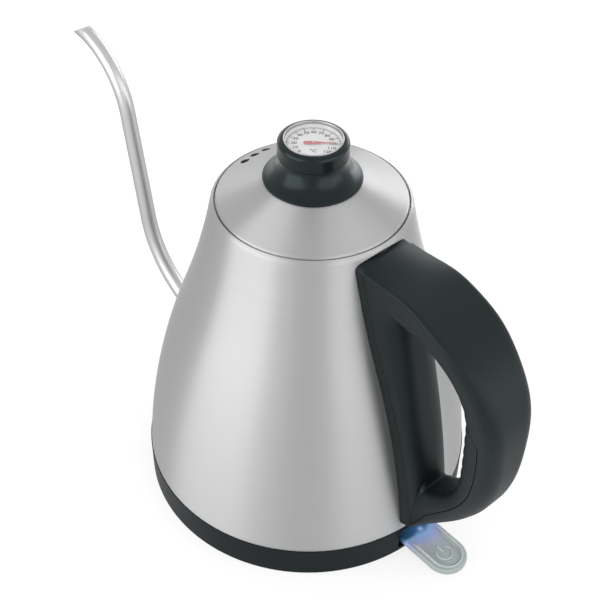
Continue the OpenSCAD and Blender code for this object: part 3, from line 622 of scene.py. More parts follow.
@dataclass(frozen=True)
class Smoked(Finish):
    """Cloudy plastic with painted light: the lamp in its root is painted into its colour and glow, and
    painted highlights pale its raised edges.

    Each stop holds a distance from the root in millimetres and the colour there: dark at the root, partly
    painted shade, then painted blue lamp light, then the plastic's grey. The distance is the way along +X
    and, clear of the root, a share of the way to either side of the lamp.
    """

    stops: tuple[tuple[float, Colour], ...]
    root: float = 76.0
    reach: float = 24.0
    lamp_y: float = 3.0
    aside: float = 0.6
    aside_from: float = 6.0
    aside_to: float = 14.0
    cloud: float = 160.0
    drift: float = 0.06
    spot: Place = (81.9, 1.0, 9.8)
    # Pale colour painted within this reach of the lamp: a painted pool of its light.
    spot_reach: float = 2.4
    spot_colour: Colour = (0.62, 0.68, 0.9)
    # The plastic itself glows blue near the lamp: painted lamp light as emission.
    glow: Colour = (0.06, 0.16, 0.42)
    glow_reach: float = 11.0
    glow_strength: float = 0.5
    # Paler colour on the raised edges above these heights: a painted highlight.
    crest: Colour = (0.48, 0.52, 0.52)
    crest_z: Pair = (9.9, 10.25)
    roughness: float = 0.22

    def tint(self, graph: Graph, x: Socket, y: Socket, cloud: Socket) -> Socket:
        """Runs the stops' colours out from the lamp: painted shade at the root, then painted lamp light.

        Args:
            graph: The material's nodes.
            x: Way along the lever in metres.
            y: Way across it in metres.
            cloud: Noise that makes the colours drift.

        Returns:
            The colour.
        """
        aside = graph.maths("ABSOLUTE", graph.maths("SUBTRACT", y, self.lamp_y * MM))
        limits = tuple((self.root + way) * MM for way in (self.aside_from, self.aside_to))
        added = graph.maths("MULTIPLY", aside, graph.span(x, limits, (0.0, self.aside)))
        ends = (self.root * MM, (self.root + self.reach) * MM)
        way = graph.span(graph.maths("ADD", x, added), ends, UNIT)
        drift = graph.span(cloud, NOISE_MIDDLE, (-self.drift, self.drift))
        ramp = graph.add("ShaderNodeValToRGB", graph.maths("ADD", way, drift))
        marks = ramp.color_ramp.elements
        # A new ramp has two marks already.
        for k, (distance, colour) in enumerate(self.stops):
            mark = marks[k] if k < 2 else marks.new(distance / self.reach)
            mark.position, mark.color = distance / self.reach, (*colour, 1.0)
        return ramp.outputs[0]

    def make(self, graph: Graph) -> None:
        """Builds the tint with its painted shade and lamp light, the lamp's painted light spot and painted
        glow, and the painted highlights on the crests.

        Args:
            graph: The material's nodes.
        """
        x, y, z = graph.axes()
        cloud = graph.noise(self.cloud, detail=3.0)
        away = graph.distance(self.spot)
        # Painted lamp light: pale colour near the lamp.
        near = graph.squared(graph.span(away, (0.0, self.spot_reach * MM), (1.0, 0.0)))
        # Painted glow, fading away from the lamp.
        lit = graph.squared(graph.span(away, (0.0, self.glow_reach * MM), (1.0, 0.0)))
        # Share of painted highlight on the raised edges.
        pale = graph.span(z, tuple(v * MM for v in self.crest_z), UNIT)
        tinted = graph.blend(near, self.tint(graph, x, y, cloud), self.spot_colour)
        graph.set(
            Base_Color=graph.blend(pale, tinted, self.crest),
            Emission_Color=graph.blend(lit, (0.0, 0.0, 0.0), self.glow),
            Emission_Strength=self.glow_strength,
            Roughness=graph.gloss(cloud, self.roughness, CLOUD_GLOSS),
            IOR=ACRYLIC_IOR,
        )


@dataclass(frozen=True)
class Lamp(Finish):
    """A lit lens, paler in its middle."""

    colour: Colour
    heart: Colour
    middle: Place
    reach: float
    strength: float
    roughness: float = 0.2

    def make(self, graph: Graph) -> None:
        """Builds light that pales towards the middle.

        Args:
            graph: The material's nodes.
        """
        near = graph.span(graph.distance(self.middle), (0.0, self.reach * MM), (1.0, 0.0))
        shade = graph.blend(near, self.colour, self.heart)
        graph.set(
            Base_Color=shade,
            Roughness=self.roughness,
            Emission_Color=shade,
            Emission_Strength=self.strength,
        )


class Palette:
    """Every finish of the kettle, by name."""

    COOL = (0.78, 0.98, 1.0)
    BRUSHED = Metal(
        "brushed steel",
        "brushed_steel",
        (0.455, 0.456, 0.461),
        roughness=0.46,
        mark=0.012,
        spread=0.92,
        grain=Grain.TURNED,
        edge=(0.52, 0.52, 0.53),
        relief=0.04,
    )
    POLISHED = Metal("polished steel", "polished_steel", (0.62, 0.625, 0.63), 0.2, 0.03)
    TUBE = Metal(
        "tube steel",
        "polished_steel",
        (0.5, 0.5, 0.505),
        roughness=0.36,
        mark=0.015,
        edge=(0.45, 0.45, 0.45),
        relief=0.02,
    )
    INNER = Metal("inner steel", "inner_steel", (0.42, 0.42, 0.43), 0.38, 0.06, 0.5, Grain.TURNED)
    ALUMINIUM = Metal("cast aluminium", "aluminium", (0.5, 0.51, 0.53), 0.45, 0.12)
    BRASS = Metal("brass", "brass", (0.62, 0.44, 0.16), 0.3, 0.08, edge=(0.9, 0.8, 0.5))
    BIMETAL = Metal("bimetal", "bimetal", (0.45, 0.3, 0.16), 0.35, 0.1, edge=(0.8, 0.7, 0.5))
    BLACK = Plastic(
        "black handle plastic",
        "black_plastic",
        (0.0042, 0.0058, 0.0062),
        roughness=0.5,
        grain=0.012,
        level=0.26,
        tint=COOL,
    )
    RING = Plastic("black ring plastic", "black_plastic", (0.0042, 0.006, 0.0072), 0.48, 0.01, 0.11, COOL)
    KNOB = Plastic("black knob plastic", "knob_plastic", (0.003, 0.0044, 0.0048), 0.26, 0.008, 0.29, COOL)
    GREY = Plastic("grey plastic", "grey_plastic", (0.03, 0.033, 0.036), 0.55, 0.02)
    # Dark sheet under the vents: painted shade.
    GAUZE = Plastic("vent painted shade", "black_plastic", (0.004, 0.005, 0.0055), 0.7, 0.03, 0.1)
    WHITE = Plastic("pale ceramic plastic", "white_plastic", (0.68, 0.65, 0.58), 0.5, 0.02)
    SILICONE = Plastic("silicone", "silicone", (0.6, 0.6, 0.58), 0.6, 0.01)
    WIRE = Plastic("wire sleeve", "wire_cover", (0.3, 0.03, 0.02), 0.5, 0.01)
    DIAL = Plastic("dial face", "dial_print", (0.72, 0.72, 0.715), 0.5, 0.006)
    PRINT = Plastic("dial ink", "dial_print", (0.01, 0.011, 0.015), 0.55, 0.004, 0.2)
    RED = Plastic("red paint", "pointer_red", (0.46, 0.02, 0.045), 0.35, 0.004)
    LENS = Clear("lens", "lens_glass", (0.9, 0.92, 0.92), 0.03, 0.1)
    SMOKE = Smoked(
        "smoked lever plastic",
        "smoke_plastic",
        (
            # Dark at the root, partly painted shade; pale blue from about 9 mm, painted lamp light; then
            # the plastic's grey.
            (0.0, srgb(24, 52, 70)),
            (5.5, srgb(40, 84, 118)),
            (9.0, srgb(140, 172, 212)),
            (13.0, srgb(146, 156, 200)),
            (17.5, srgb(154, 160, 172)),
            (23.0, srgb(152, 161, 160)),
        ),
    )
    # Paler than the panel round it: a painted highlight on the raised symbol.
    SYMBOL = Plastic("lever plastic painted highlight", "smoke_plastic", srgb(176, 186, 184), 0.25, 0.004)
    LED = Lamp("blue lamp", "led_blue", (0.05, 0.13, 0.28), (0.7, 0.84, 1.0), (81.5, 0.5, 9.6), 2.6, 0.7)


# Pieces


def put(
    name: str,
    surface: Surface,
    body: str,
    finish: Finish,
    stands_for: tuple[str, ...] = (),
    crease: float = 38.0,
) -> None:
    """Makes a piece from a surface, dresses it and lets it ride a body.

    Args:
        name: The piece's name.
        surface: Its shape in millimetres.
        body: The CAD body it moves with.
        finish: Its finish.
        stands_for: CAD nodes it is shown in place of.
        crease: Angle in degrees above which an edge shades sharp.
    """
    mesh = bpy.data.meshes.new(name)
    faces = [face for block in surface.faces for face in block.tolist()]
    mesh.from_pydata((surface.points * MM).tolist(), [], faces)
    mesh.polygons.foreach_set("use_smooth", np.ones(len(mesh.polygons), bool))
    mesh.set_sharp_from_angle(angle=math.radians(crease))
    mesh.update()
    piece = bpy.data.objects.new(name, mesh)
    bpy.context.scene.collection.objects.link(piece)
    finish.dress(piece)
    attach(piece, body)
    if stands_for:
        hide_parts(*stands_for)
    LOG.info("%s: %d points on %s", name, len(surface.points), body)


def dress_nodes(finishes: dict[str, Finish]) -> None:
    """Gives CAD nodes their finishes.

    Args:
        finishes: A finish for each node's name.
    """
    for node, finish in finishes.items():
        finish.dress(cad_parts[node])
        LOG.info("%s: %s", node, finish.name)


@dataclass(frozen=True)
class BodyForm:
    """Outer outline of the vessel: a foot arc that curves in, then a neck arc that straightens."""

    foot_r: float = 80.0
    foot_z: float = 17.3
    waist_z: float = 110.3
    neck_z: float = 163.0
    foot_lean: float = 4.3
    waist_lean: float = 20.7
    neck_lean: float = 10.7

    def radius(self, z: np.ndarray | float) -> np.ndarray:
        """Finds the radius at height z, from the circle of the foot arc or of the neck arc.

        Args:
            z: Heights in millimetres.

        Returns:
            Radii in millimetres.
        """
        z = np.asarray(z, float)
        low, mid, high = np.radians([self.foot_lean, self.waist_lean, self.neck_lean])
        foot = (self.waist_z - self.foot_z) / (math.sin(mid) - math.sin(low))
        foot_x = self.foot_r - foot * math.cos(low)
        below = foot_x + np.sqrt(foot**2 - (z - self.foot_z + foot * math.sin(low)) ** 2)
        neck = (self.neck_z - self.waist_z) / (math.sin(mid) - math.sin(high))
        waist_r = foot_x + foot * math.cos(mid)
        rise = z - self.waist_z - neck * math.sin(mid)
        above = waist_r + neck * math.cos(mid) - np.sqrt(neck**2 - rise**2)
        return np.where(z < self.waist_z, below, above)


@dataclass
class Vessel:
    """Body, mouth, floor and base."""

    finishes: dict[str, Finish] = field(
        default_factory=lambda: {
            "body_shell": Palette.BRUSHED,
            "mouth_ring": Palette.INNER,
            "vessel_floor": Palette.INNER,
            "steam_pipe": Palette.INNER,
            "base_ring": Palette.RING,
            "base_cover": Palette.GREY,
            "base_standoffs": Palette.GREY,
            "base_screws": Palette.POLISHED,
            "heat_spreader": Palette.ALUMINIUM,
            "heating_element": Palette.ALUMINIUM,
            "element_pins": Palette.POLISHED,
            "control_body": Palette.WHITE,
            "control_tabs": Palette.BRASS,
            "control_screws": Palette.POLISHED,
            "snap_discs": Palette.BIMETAL,
            "earth_pin": Palette.BRASS,
            "contact_ring": Palette.BRASS,
            "switch_frame": Palette.GREY,
            "steam_cap": Palette.SILICONE,
            "steam_bimetal": Palette.BIMETAL,
            "lever_pin": Palette.POLISHED,
            "contact_leaf": Palette.BRASS,
            "fixed_contact": Palette.BRASS,
            "lead_wires": Palette.WIRE,
            "trip_pin": Palette.WHITE,
        }
    )

    def build(self) -> None:
        """Dresses the CAD nodes."""
        dress_nodes(self.finishes)


@dataclass
class Spout:
    """Gooseneck tube with an open tip, and the weld round its root.

    Lengths are in millimetres, and rises and leans in degrees.
    """

    form: BodyForm
    root_r: float = 4.4
    tip_r: float = 3.8
    wall_t: float = 0.8
    root_z: float = 25.0
    root_rise: float = 25.0
    root_len: float = 27.0
    inside: float = 4.0
    low_r: float = 50.0
    riser_rise: float = 80.7
    riser: float = 63.9
    high_r: float = 39.4
    tip_rise: float = 9.5
    tip: float = 3.0
    cut: float = 50.0
    cut_from: float = 0.93
    lip_turn: float = 12.0
    lip_rows: int = 7
    lip_look_back: int = 6
    rings: int = 400
    columns: int = 40
    weld_r: float = 0.9
    weld_waver: float = 0.12
    weld_waves: tuple[int, int] = (23, 7)
    weld_reach: float = 12.0
    weld_halvings: int = 40
    weld_rows: int = 96
    weld_columns: int = 14

    def path(self) -> tuple[np.ndarray, np.ndarray]:
        """Draws the middle line, straights joined by arcs, by adding up steps along its direction.

        Returns:
            Points (distance out, height) and rise in degrees at each.
        """
        bend_low = math.radians(self.riser_rise - self.root_rise) * self.low_r
        bend_high = math.radians(self.riser_rise - self.tip_rise) * self.high_r
        lengths = np.array([self.inside + self.root_len, bend_low, self.riser, bend_high, self.tip])
        stops = np.concatenate([[0], np.cumsum(lengths)])
        rises = np.repeat([self.root_rise, self.riser_rise, self.tip_rise], 2)
        s = np.linspace(0, stops[-1], self.rings)
        rise = np.interp(s, stops, rises)
        mid = np.radians((rise[1:] + rise[:-1]) / 2)
        step = np.diff(s)
        d = np.concatenate([[0], np.cumsum(step * np.cos(mid))])
        z = np.concatenate([[0], np.cumsum(step * np.sin(mid))])
        first = math.radians(self.root_rise)
        d += float(self.form.radius(self.root_z)) - self.inside * math.cos(first)
        z += self.root_z - self.inside * math.sin(first)
        return np.stack([d, z], -1), rise

    def wall(self, inset: float) -> np.ndarray:
        """Lays rings along the middle line, narrowing evenly, the last ones leaning to the cut tip.

        Args:
            inset: Depth under the tube's outer face in millimetres.

        Returns:
            Grid of points (rings, columns, 3).
        """
        middle, rise = self.path()
        share = np.linspace(0, 1, len(middle))[:, None]
        radius = self.root_r + (self.tip_r - self.root_r) * share - inset
        a = full_turn(self.columns)
        turn = np.radians(rise)[:, None]
        up = radius * np.cos(a)
        slide = -smooth_step(self.cut_from, 1.0, share) * up * math.tan(math.radians(self.cut))
        d = middle[:, :1] - up * np.sin(turn) + slide * np.cos(turn)
        z = middle[:, 1:] + up * np.cos(turn) + slide * np.sin(turn)
        return np.stack([-d, radius * np.sin(a), z], -1)

    def lip(self) -> np.ndarray:
        """Leads the tube's wall up the outside, over a half-round lip, and down the bore.

        Returns:
            Grid of points (rings, columns, 3).
        """
        outer, mid, inner = (self.wall(share * self.wall_t) for share in (0.0, 0.5, 1.0))
        along = mid[-1] - mid[-self.lip_look_back]
        along /= np.linalg.norm(along, axis=1, keepdims=True)
        swell = np.radians(np.linspace(self.lip_turn, 180 - self.lip_turn, self.lip_rows))[:, None, None]
        half = (outer[-1] - inner[-1]) / 2
        edge = mid[-1] + np.cos(swell) * half + np.sin(swell) * along * self.wall_t / 2
        return np.concatenate([outer, edge, inner[::-1]])

    def weld(self) -> Surface:
        """Lays a bead along the meeting of tube and body.

        For each angle round the tube, the distance along its axis at which it reaches the body's
        radius is found by halving; a small circle is carried along those points.

        Returns:
            The bead.
        """
        a = full_turn(self.weld_rows)
        t = math.radians(self.root_rise)
        axis = np.array([-math.cos(t), 0, math.sin(t)])
        up = np.array([math.sin(t), 0, math.cos(t)])
        radial = np.cos(a)[:, None] * up + np.sin(a)[:, None] * np.array([0, 1.0, 0])
        root = np.array([-float(self.form.radius(self.root_z)), 0, self.root_z])
        low, high = np.full(len(a), -self.weld_reach), np.full(len(a), self.weld_reach)
        for _ in range(self.weld_halvings):
            mid = (low + high) / 2
            p = root + self.root_r * radial + mid[:, None] * axis
            outside = np.hypot(p[:, 0], p[:, 1]) > self.form.radius(p[:, 2])
            low, high = np.where(outside, low, mid), np.where(outside, mid, high)
        p = root + self.root_r * radial + low[:, None] * axis
        around = full_turn(self.weld_columns)[None, :, None]
        slow, quick = (np.sin(waves * a) for waves in self.weld_waves)
        bead = self.weld_r * (1 + self.weld_waver * slow * quick)[:, None, None]
        points = p[:, None] + bead * (np.cos(around) * radial[:, None] + np.sin(around) * axis)
        return skin(points, along=True)

    def build(self) -> None:
        """Makes the tube and its weld."""
        put("gooseneck_tube", skin(self.lip(), along=True), "kettle", Palette.TUBE, ("spout_tube",))
        put("spout_weld", self.weld(), "kettle", Palette.TUBE)


class HandlePart(Enum):
    """The two mouldings of the handle's loop."""

    SHELL = "outer shell"
    COVER = "inner grip cover"


class Row(IntEnum):
    """Columns of a row of the handle's loop. The two places take two columns each."""

    OUTER = 0
    INNER = 2
    CORNER = 4
    DEEP = 5
    WIDE = 6
    PARTING = 7
    COVER = 8
    SWELL = 9
    CUT = 10


@dataclass
class Leg:
    """A stretch of the handle's loop, as rows that run from its outer outline to its opening.

    Corner is the radius of the outer edge, deep and wide are the nose's shares of depth and width,
    parting is the seam's depth, cover is how far the cover has grown, and swell is added width. A
    number given as a pair changes evenly from the stretch's first row to its last.
    """

    outer: np.ndarray
    inner: np.ndarray
    corner: np.ndarray | Pair
    deep: Pair
    wide: Pair
    parting: Pair = (8.5, 8.5)
    cover: np.ndarray | Pair = (0.0, 0.0)
    swell: np.ndarray | Pair = (0.0, 0.0)
    cut: bool = False
    whole: bool = False

    def rows(self) -> np.ndarray:
        """Spreads the stretch's numbers over its rows.

        Returns:
            The rows, with the columns that Row names.
        """
        count = len(self.outer)
        numbers = (self.corner, self.deep, self.wide, self.parting, self.cover, self.swell)
        columns = [np.linspace(*pair, count) if len(pair) == 2 else pair for pair in numbers]
        cut = self.cut * (columns[Row.COVER - Row.CORNER] > 0)
        rows = np.column_stack([self.outer, self.inner, *columns, cut])
        return rows if self.whole else rows[:-1]


@dataclass
class Opening:
    """Places (x, z) along the finger opening's side next to the strip, from its foot up."""

    tip: np.ndarray
    foot: np.ndarray
    foot_out: np.ndarray
    top_out: np.ndarray
    top: np.ndarray
    top_in: np.ndarray


@dataclass
class Section:
    """Half of the handle's section at every row, followed by a number q.

    The outline runs across the outer face (q from 0 to 1), round its corner's quarter circle (1 to
    2), down the side (2 to 3), round the nose's quarter ellipse (3 to 4) and across to the opening's
    middle (4 to 5). Sizes are columns with a number for each row. Ribs make the nose shallower, and
    dense counts the curves as longer, so that more points lie on them.
    """

    depth: np.ndarray
    width: np.ndarray
    corner: np.ndarray
    nose: np.ndarray
    side: np.ndarray
    ribs: np.ndarray
    dense: float
    end: float = 5.0

    @property
    def flat(self) -> np.ndarray:
        """Length of the straight side."""
        return self.depth - self.nose - self.corner

    @property
    def sizes(self) -> list[np.ndarray]:
        """Lengths that the outline's five stretches count for."""
        turns = self.corner + self.dense, self.nose + self.side + self.dense
        return [self.width - self.corner, turns[0], self.flat, turns[1], self.width - self.side]

    def at_depth(self, depth: np.ndarray) -> np.ndarray:
        """Finds where the outline reaches a depth.

        Args:
            depth: Depths under the outer face.

        Returns:
            The number q there.
        """
        turn_in = np.arccos(np.clip(1 - depth / self.corner, 0, 1))
        turn_out = np.arcsin(np.clip((depth - self.depth + self.nose) / self.nose, 0, 1))
        down_side = np.clip((depth - self.corner) / self.flat, 0, 1)
        return 1 + turn_in / (np.pi / 2) + down_side + turn_out / (np.pi / 2)

    def reached(self, q: np.ndarray) -> np.ndarray:
        """Length of the outline up to a number q."""
        return sum(size * np.clip(q - k, 0, 1) for k, size in enumerate(self.sizes))

    def spread(self, first: np.ndarray, last: np.ndarray, share: np.ndarray) -> np.ndarray:
        """Spreads points along a part of the outline by its length.

        Args:
            first: The number q at the part's start.
            last: The number q at its end.
            share: Shares of the way from one to the other.

        Returns:
            The points' numbers q.
        """
        way = self.reached(first) + (self.reached(last) - self.reached(first)) * share
        starts = np.cumsum([0 * self.depth, *self.sizes[:-1]], axis=0)
        return sum(np.clip((way - start) / size, 0, 1) for start, size in zip(starts, self.sizes))

    def outline(self, q: np.ndarray) -> tuple[np.ndarray, np.ndarray]:
        """Follows the outline.

        Args:
            q: Numbers along it.

        Returns:
            Depths under the outer face, and distances from the middle.
        """
        near, far = np.clip(q - 1, 0, 1) * np.pi / 2, np.clip(q - 3, 0, 1) * np.pi / 2
        level = np.clip(q - 2, 0, 1)
        a = self.corner * (1 - np.cos(near)) + self.flat * level + (self.nose - self.ribs) * np.sin(far)
        b = (self.width - self.corner) * np.clip(q, 0, 1) + self.corner * np.sin(near)
        b = b - self.side * (1 - np.cos(far)) - (self.width - self.side) * np.clip(q - 4, 0, 1)
        return a, b


@dataclass
class Handle:
    """D-shaped handle: a strip on the body, an outer shell and an inner grip cover.

    The loop is a set of rows. Each has a point on the outer outline and one on the finger
    opening's outline, and a rounded section spans from one to the other. Lengths are in
    millimetres, turns in degrees, and tables pair a turn with a number.
    """

    form: BodyForm
    top_z: float = 163.49
    wide_z: float = 18.3
    foot_w: float = 10.0
    top_w: float = 14.8
    arch: float = 2.8
    arch_from: float = 50.0
    arch_to: float = 78.0
    arch_low: float = 140.0
    strip_t: float = 5.0
    strip_gap: float = 0.15
    strip_foot: float = 22.6
    strip_flare: float = 0.8
    strip_round: float = 2.4
    strip_rows: int = 70
    strip_columns: int = 17
    strip_crease: float = 30.0
    cap_rows: int = 10
    seam: float = 0.03
    grip_x: float = 125.4
    grip_t: float = 20.0
    grip_lean: float = 0.4
    high_r: float = 51.0
    top_drop: float = 1.6
    top_swell: float = 1.4
    low_x: float = 58.2
    low_z: float = 95.0
    low_r: float = 67.6
    low_turn: float = 42.0
    meet_below: float = 40.0
    meet_steps: int = 400
    finger_x: float = 78.0
    finger_z: float = 77.0
    finger_r: float = 27.0
    finger_turn: float = 68.0
    column_top: float = 15.5
    column_foot: float = 11.4
    column_ease: float = 1.6
    fan_z: float = 136.0
    corner: float = 4.0
    corner_most: float = 0.98
    round_grip: float = 8.0
    round_low: float = 4.0
    round_foot: float = 0.3
    bend_round: Table = ((35, 7.8), (62, 3.2), (90, 1.8))
    bend_swell: Table = ((0, 0.9), (30, 2.0), (65, 3.1))
    bend_sag: Table = ((-20, 1.2), (0, 0.0), (20, 1.2), (45, 3.6), (70, 4.8))
    finger_round: Table = ((25, 8.3), (45, 5.2))
    parting: float = 8.5
    parting_low: float = 6.5
    parting_foot: float = 3.2
    parting_gap: float = 0.42
    tongue: float = 0.36
    cover_least: float = 0.7
    cover_end: float = 0.3
    slant_from: float = 13.8
    slant_share: float = 0.86
    slant_to_z: float = 110.5
    rib: float = 0.5
    rib_pitch: float = 7.2
    rib_x: Pair = (97.0, 103.0)
    rib_z: Pair = (58.0, 72.0)
    dense: float = 5.0
    ease: int = 12
    foot_rows: int = 16
    column_rows: int = 44
    fan_rows: int = 20
    top_rows: int = 26
    bend_rows: int = 58
    grip_rows: int = 12
    side_rows: int = 14
    finger_rows: int = 60
    shell_columns: tuple[int, int] = (40, 20)
    cover_columns: tuple[int, int] = (9, 36)

    @property
    def high(self) -> np.ndarray:
        """Centre (x, z) of the upper bend."""
        return np.array([self.grip_x - self.high_r, self.top_z - self.high_r])

    def half_width(self, z: np.ndarray | float) -> np.ndarray:
        """Half-width at height z."""
        share = (np.asarray(z, float) - self.wide_z) / (self.top_z - self.wide_z)
        return self.foot_w + (self.top_w - self.foot_w) * share

    def fall(self, x: np.ndarray, y: np.ndarray, z: np.ndarray) -> np.ndarray:
        """Works out how far the top drops towards its edges.

        The drop grows with the square of y and fades along the top and downward.

        Args:
            x: Distances from the kettle's axis.
            y: Distances from the handle's middle.
            z: Heights.

        Returns:
            The drops.
        """
        along = 1 - smooth_step(self.arch_from, self.arch_to, x)
        upward = smooth_step(self.arch_low, self.top_z, z)
        return self.arch * (y / self.top_w) ** 2 * along * upward

    def seat_x(self, z: np.ndarray | float) -> np.ndarray:
        """Where the shell meets the strip, at height z."""
        radius = self.form.radius(z) + self.strip_t
        return np.sqrt(radius**2 - self.half_width(z) ** 2)

    def seat(self, z: np.ndarray) -> np.ndarray:
        """Points (x, z) on the strip at heights z."""
        return np.stack([self.seat_x(z), z], -1)

    def rays(self, turn: np.ndarray) -> np.ndarray:
        """Finds the outer points that rays from the finger arc's centre meet.

        Args:
            turn: The rays' angles in degrees.

        Returns:
            Points (x, z) on the low arc, or past its end on the line that leaves it.
        """
        a = np.radians(turn)
        way = np.stack([np.cos(a), np.sin(a)], -1)
        start = np.array([self.finger_x, self.finger_z])
        off = start - np.array([self.low_x, self.low_z])
        along = way @ off
        on_arc = -along + np.sqrt(along**2 - off @ off + self.low_r**2)
        spot = off + on_arc[:, None] * way
        tilt = math.radians(self.low_turn)
        normal = np.array([math.cos(tilt), -math.sin(tilt)])
        on_line = (self.low_r - off @ normal) / (way @ normal)
        past = np.arctan2(spot[:, 1], spot[:, 0]) < -tilt
        return start + np.where(past, on_line, on_arc)[:, None] * way

    def opening(self) -> Opening:
        """Places the finger opening's two corners next to the strip.

        Returns:
            The corners, and where their rounding starts and ends.
        """
        end = -self.finger_turn
        tip = arc(self.finger_x, self.finger_z, self.finger_r, end, end, 1)[0]
        arch_z = self.top_z - self.grip_t
        top = np.array([float(self.form.radius(arch_z)) + self.column_top, arch_z])
        foot = np.array([float(self.form.radius(tip[1])) + self.column_foot, tip[1]])
        back = (foot - top) / np.linalg.norm(foot - top) * self.corner
        return Opening(tip, foot, foot - back, top + back, top, top + np.array([self.corner, 0.0]))

    def meet(self) -> np.ndarray:
        """Finds where the line that leaves the low arc meets the strip.

        Returns:
            The place (x, z).
        """
        z = np.linspace(self.strip_foot, self.meet_below, self.meet_steps)
        x, top = arc(self.low_x, self.low_z, self.low_r, -self.low_turn, -self.low_turn, 1)[0]
        past = x - (top - z) * math.tan(math.radians(self.low_turn)) - self.seat_x(z)
        return self.seat(np.interp([0.0], past, z))[0]

    def strip_legs(self) -> list[Leg]:
        """Lays out the stretches along the strip.

        Returns:
            The foot, the column and the top corner.
        """
        spot, meet = self.opening(), self.meet()
        last = self.rays(np.array([-self.finger_turn]))[0]
        drawn_in = np.linspace(0, 1, self.foot_rows) ** 2
        climb = 1 - (1 - np.linspace(0, 1, self.column_rows)) ** self.column_ease
        fan = np.linspace(self.fan_z, self.top_z, self.fan_rows)
        return [
            Leg(
                line(last, meet, self.foot_rows),
                bow(spot.tip, spot.foot, spot.foot_out, self.foot_rows),
                corner=self.round_low + (self.round_foot - self.round_low) * drawn_in,
                deep=(0.4, 0.6),
                wide=(0.5, 0.8),
                parting=(self.parting_low, self.parting_foot),
                cover=(1.0, 1.0),
                cut=True,
                whole=True,
            ),
            Leg(
                self.seat(meet[1] + (self.fan_z - meet[1]) * climb),
                line(spot.foot_out, spot.top_out, self.column_rows),
                corner=(self.round_foot, 0.1),
                deep=(0.6, 0.75),
                wide=(0.8, 0.8),
                parting=(self.parting_foot, self.parting_foot),
                cover=(1.0, 0.0),
            ),
            Leg(
                self.seat(fan),
                bow(spot.top_out, spot.top, spot.top_in, self.fan_rows),
                corner=(0.1, 0.5),
                deep=(0.75, 0.4),
                wide=(0.8, 0.4),
            ),
        ]

    def top_legs(self) -> list[Leg]:
        """Lays out the stretches over the opening.

        Returns:
            The top and the upper bend.
        """
        high, top_in = self.high, self.opening().top_in
        share = np.linspace(0, 1, self.top_rows)
        top_x = np.linspace(float(self.seat_x(self.top_z)), high[0], self.top_rows)
        bend = np.linspace(90, 0, self.bend_rows)
        turns, sags = zip(*self.bend_sag, (90, self.top_drop))
        sag = np.polyval(np.polyfit(turns, sags, len(sags) - 1), bend)
        crown = np.stack([np.cos(np.radians(bend)), np.sin(np.radians(bend))], -1)
        grown = np.clip((self.slant_from - bend) / self.slant_from, 0, 1)
        return [
            Leg(
                np.stack([top_x, self.top_z - self.top_drop * share**2], -1),
                line(top_in, np.array([high[0], top_in[1]]), self.top_rows),
                corner=(0.5, 1.8),
                deep=(0.4, 0.35),
                wide=(0.4, 0.35),
                swell=(0.0, self.top_swell),
            ),
            Leg(
                high + crown * (self.high_r - sag)[:, None],
                arc(*high, self.high_r - self.grip_t, 90, 0, self.bend_rows),
                corner=tabled(bend, ((0, self.round_grip), *self.bend_round)),
                deep=(0.35, 0.45),
                wide=(0.35, 0.5),
                parting=(self.parting, self.parting),
                cover=self.slant_share * grown,
                swell=tabled(bend, (*self.bend_swell, (90, self.top_swell))),
                cut=True,
            ),
        ]

    def grip_legs(self) -> list[Leg]:
        """Lays out the stretches down the grip.

        Returns:
            The grip's straight, its side above the finger bend, and that bend.
        """
        high_z, grip_in = self.high[1], self.grip_x - self.grip_t
        straight = np.linspace(high_z, self.low_z, self.grip_rows)
        lean = np.linspace(self.grip_x, self.grip_x + self.grip_lean, self.grip_rows)
        side = np.linspace(self.low_z, self.finger_z, self.side_rows)
        side_x = self.low_x + np.sqrt(self.low_r**2 - (side - self.low_z) ** 2)
        turn = np.linspace(0, -self.finger_turn, self.finger_rows)
        ends = (0, self.round_grip), (self.finger_turn, self.round_low)
        return [
            Leg(
                np.stack([lean, straight], -1),
                np.stack([np.full(self.grip_rows, grip_in), straight], -1),
                corner=(self.round_grip, self.round_grip),
                deep=(0.45, 0.5),
                wide=(0.5, 0.6),
                parting=(self.parting, self.parting),
                cover=tabled(-straight, ((-high_z, self.slant_share), (-self.slant_to_z, 1.0))),
                swell=(0.9, 0.3),
                cut=True,
            ),
            Leg(
                np.stack([side_x, side], -1),
                np.stack([np.full(self.side_rows, grip_in), side], -1),
                corner=(self.round_grip, self.round_grip),
                deep=(0.5, 0.5),
                wide=(0.6, 0.65),
                parting=(self.parting, self.parting),
                cover=(1.0, 1.0),
                swell=(0.3, 0.0),
                cut=True,
            ),
            Leg(
                self.rays(turn),
                arc(self.finger_x, self.finger_z, self.finger_r, 0, -self.finger_turn, self.finger_rows),
                corner=tabled(-turn, (ends[0], *self.finger_round, ends[1])),
                deep=(0.5, 0.4),
                wide=(0.65, 0.5),
                parting=(self.parting, self.parting_low),
                cover=(1.0, 1.0),
                cut=True,
            ),
        ]

    def rows(self) -> np.ndarray:
        """Puts the loop together, and smooths its outer side past the top corner.

        Returns:
            The loop's rows, with the columns that Row names.
        """
        fixed = np.concatenate([leg.rows() for leg in self.strip_legs()])
        free = np.concatenate([leg.rows() for leg in (*self.top_legs(), *self.grip_legs())])
        soft = [Row.OUTER, Row.OUTER + 1, Row.CORNER, Row.DEEP, Row.WIDE, Row.SWELL]
        free[:, soft] = eased(free[:, soft], self.ease)
        return np.concatenate([fixed, free])

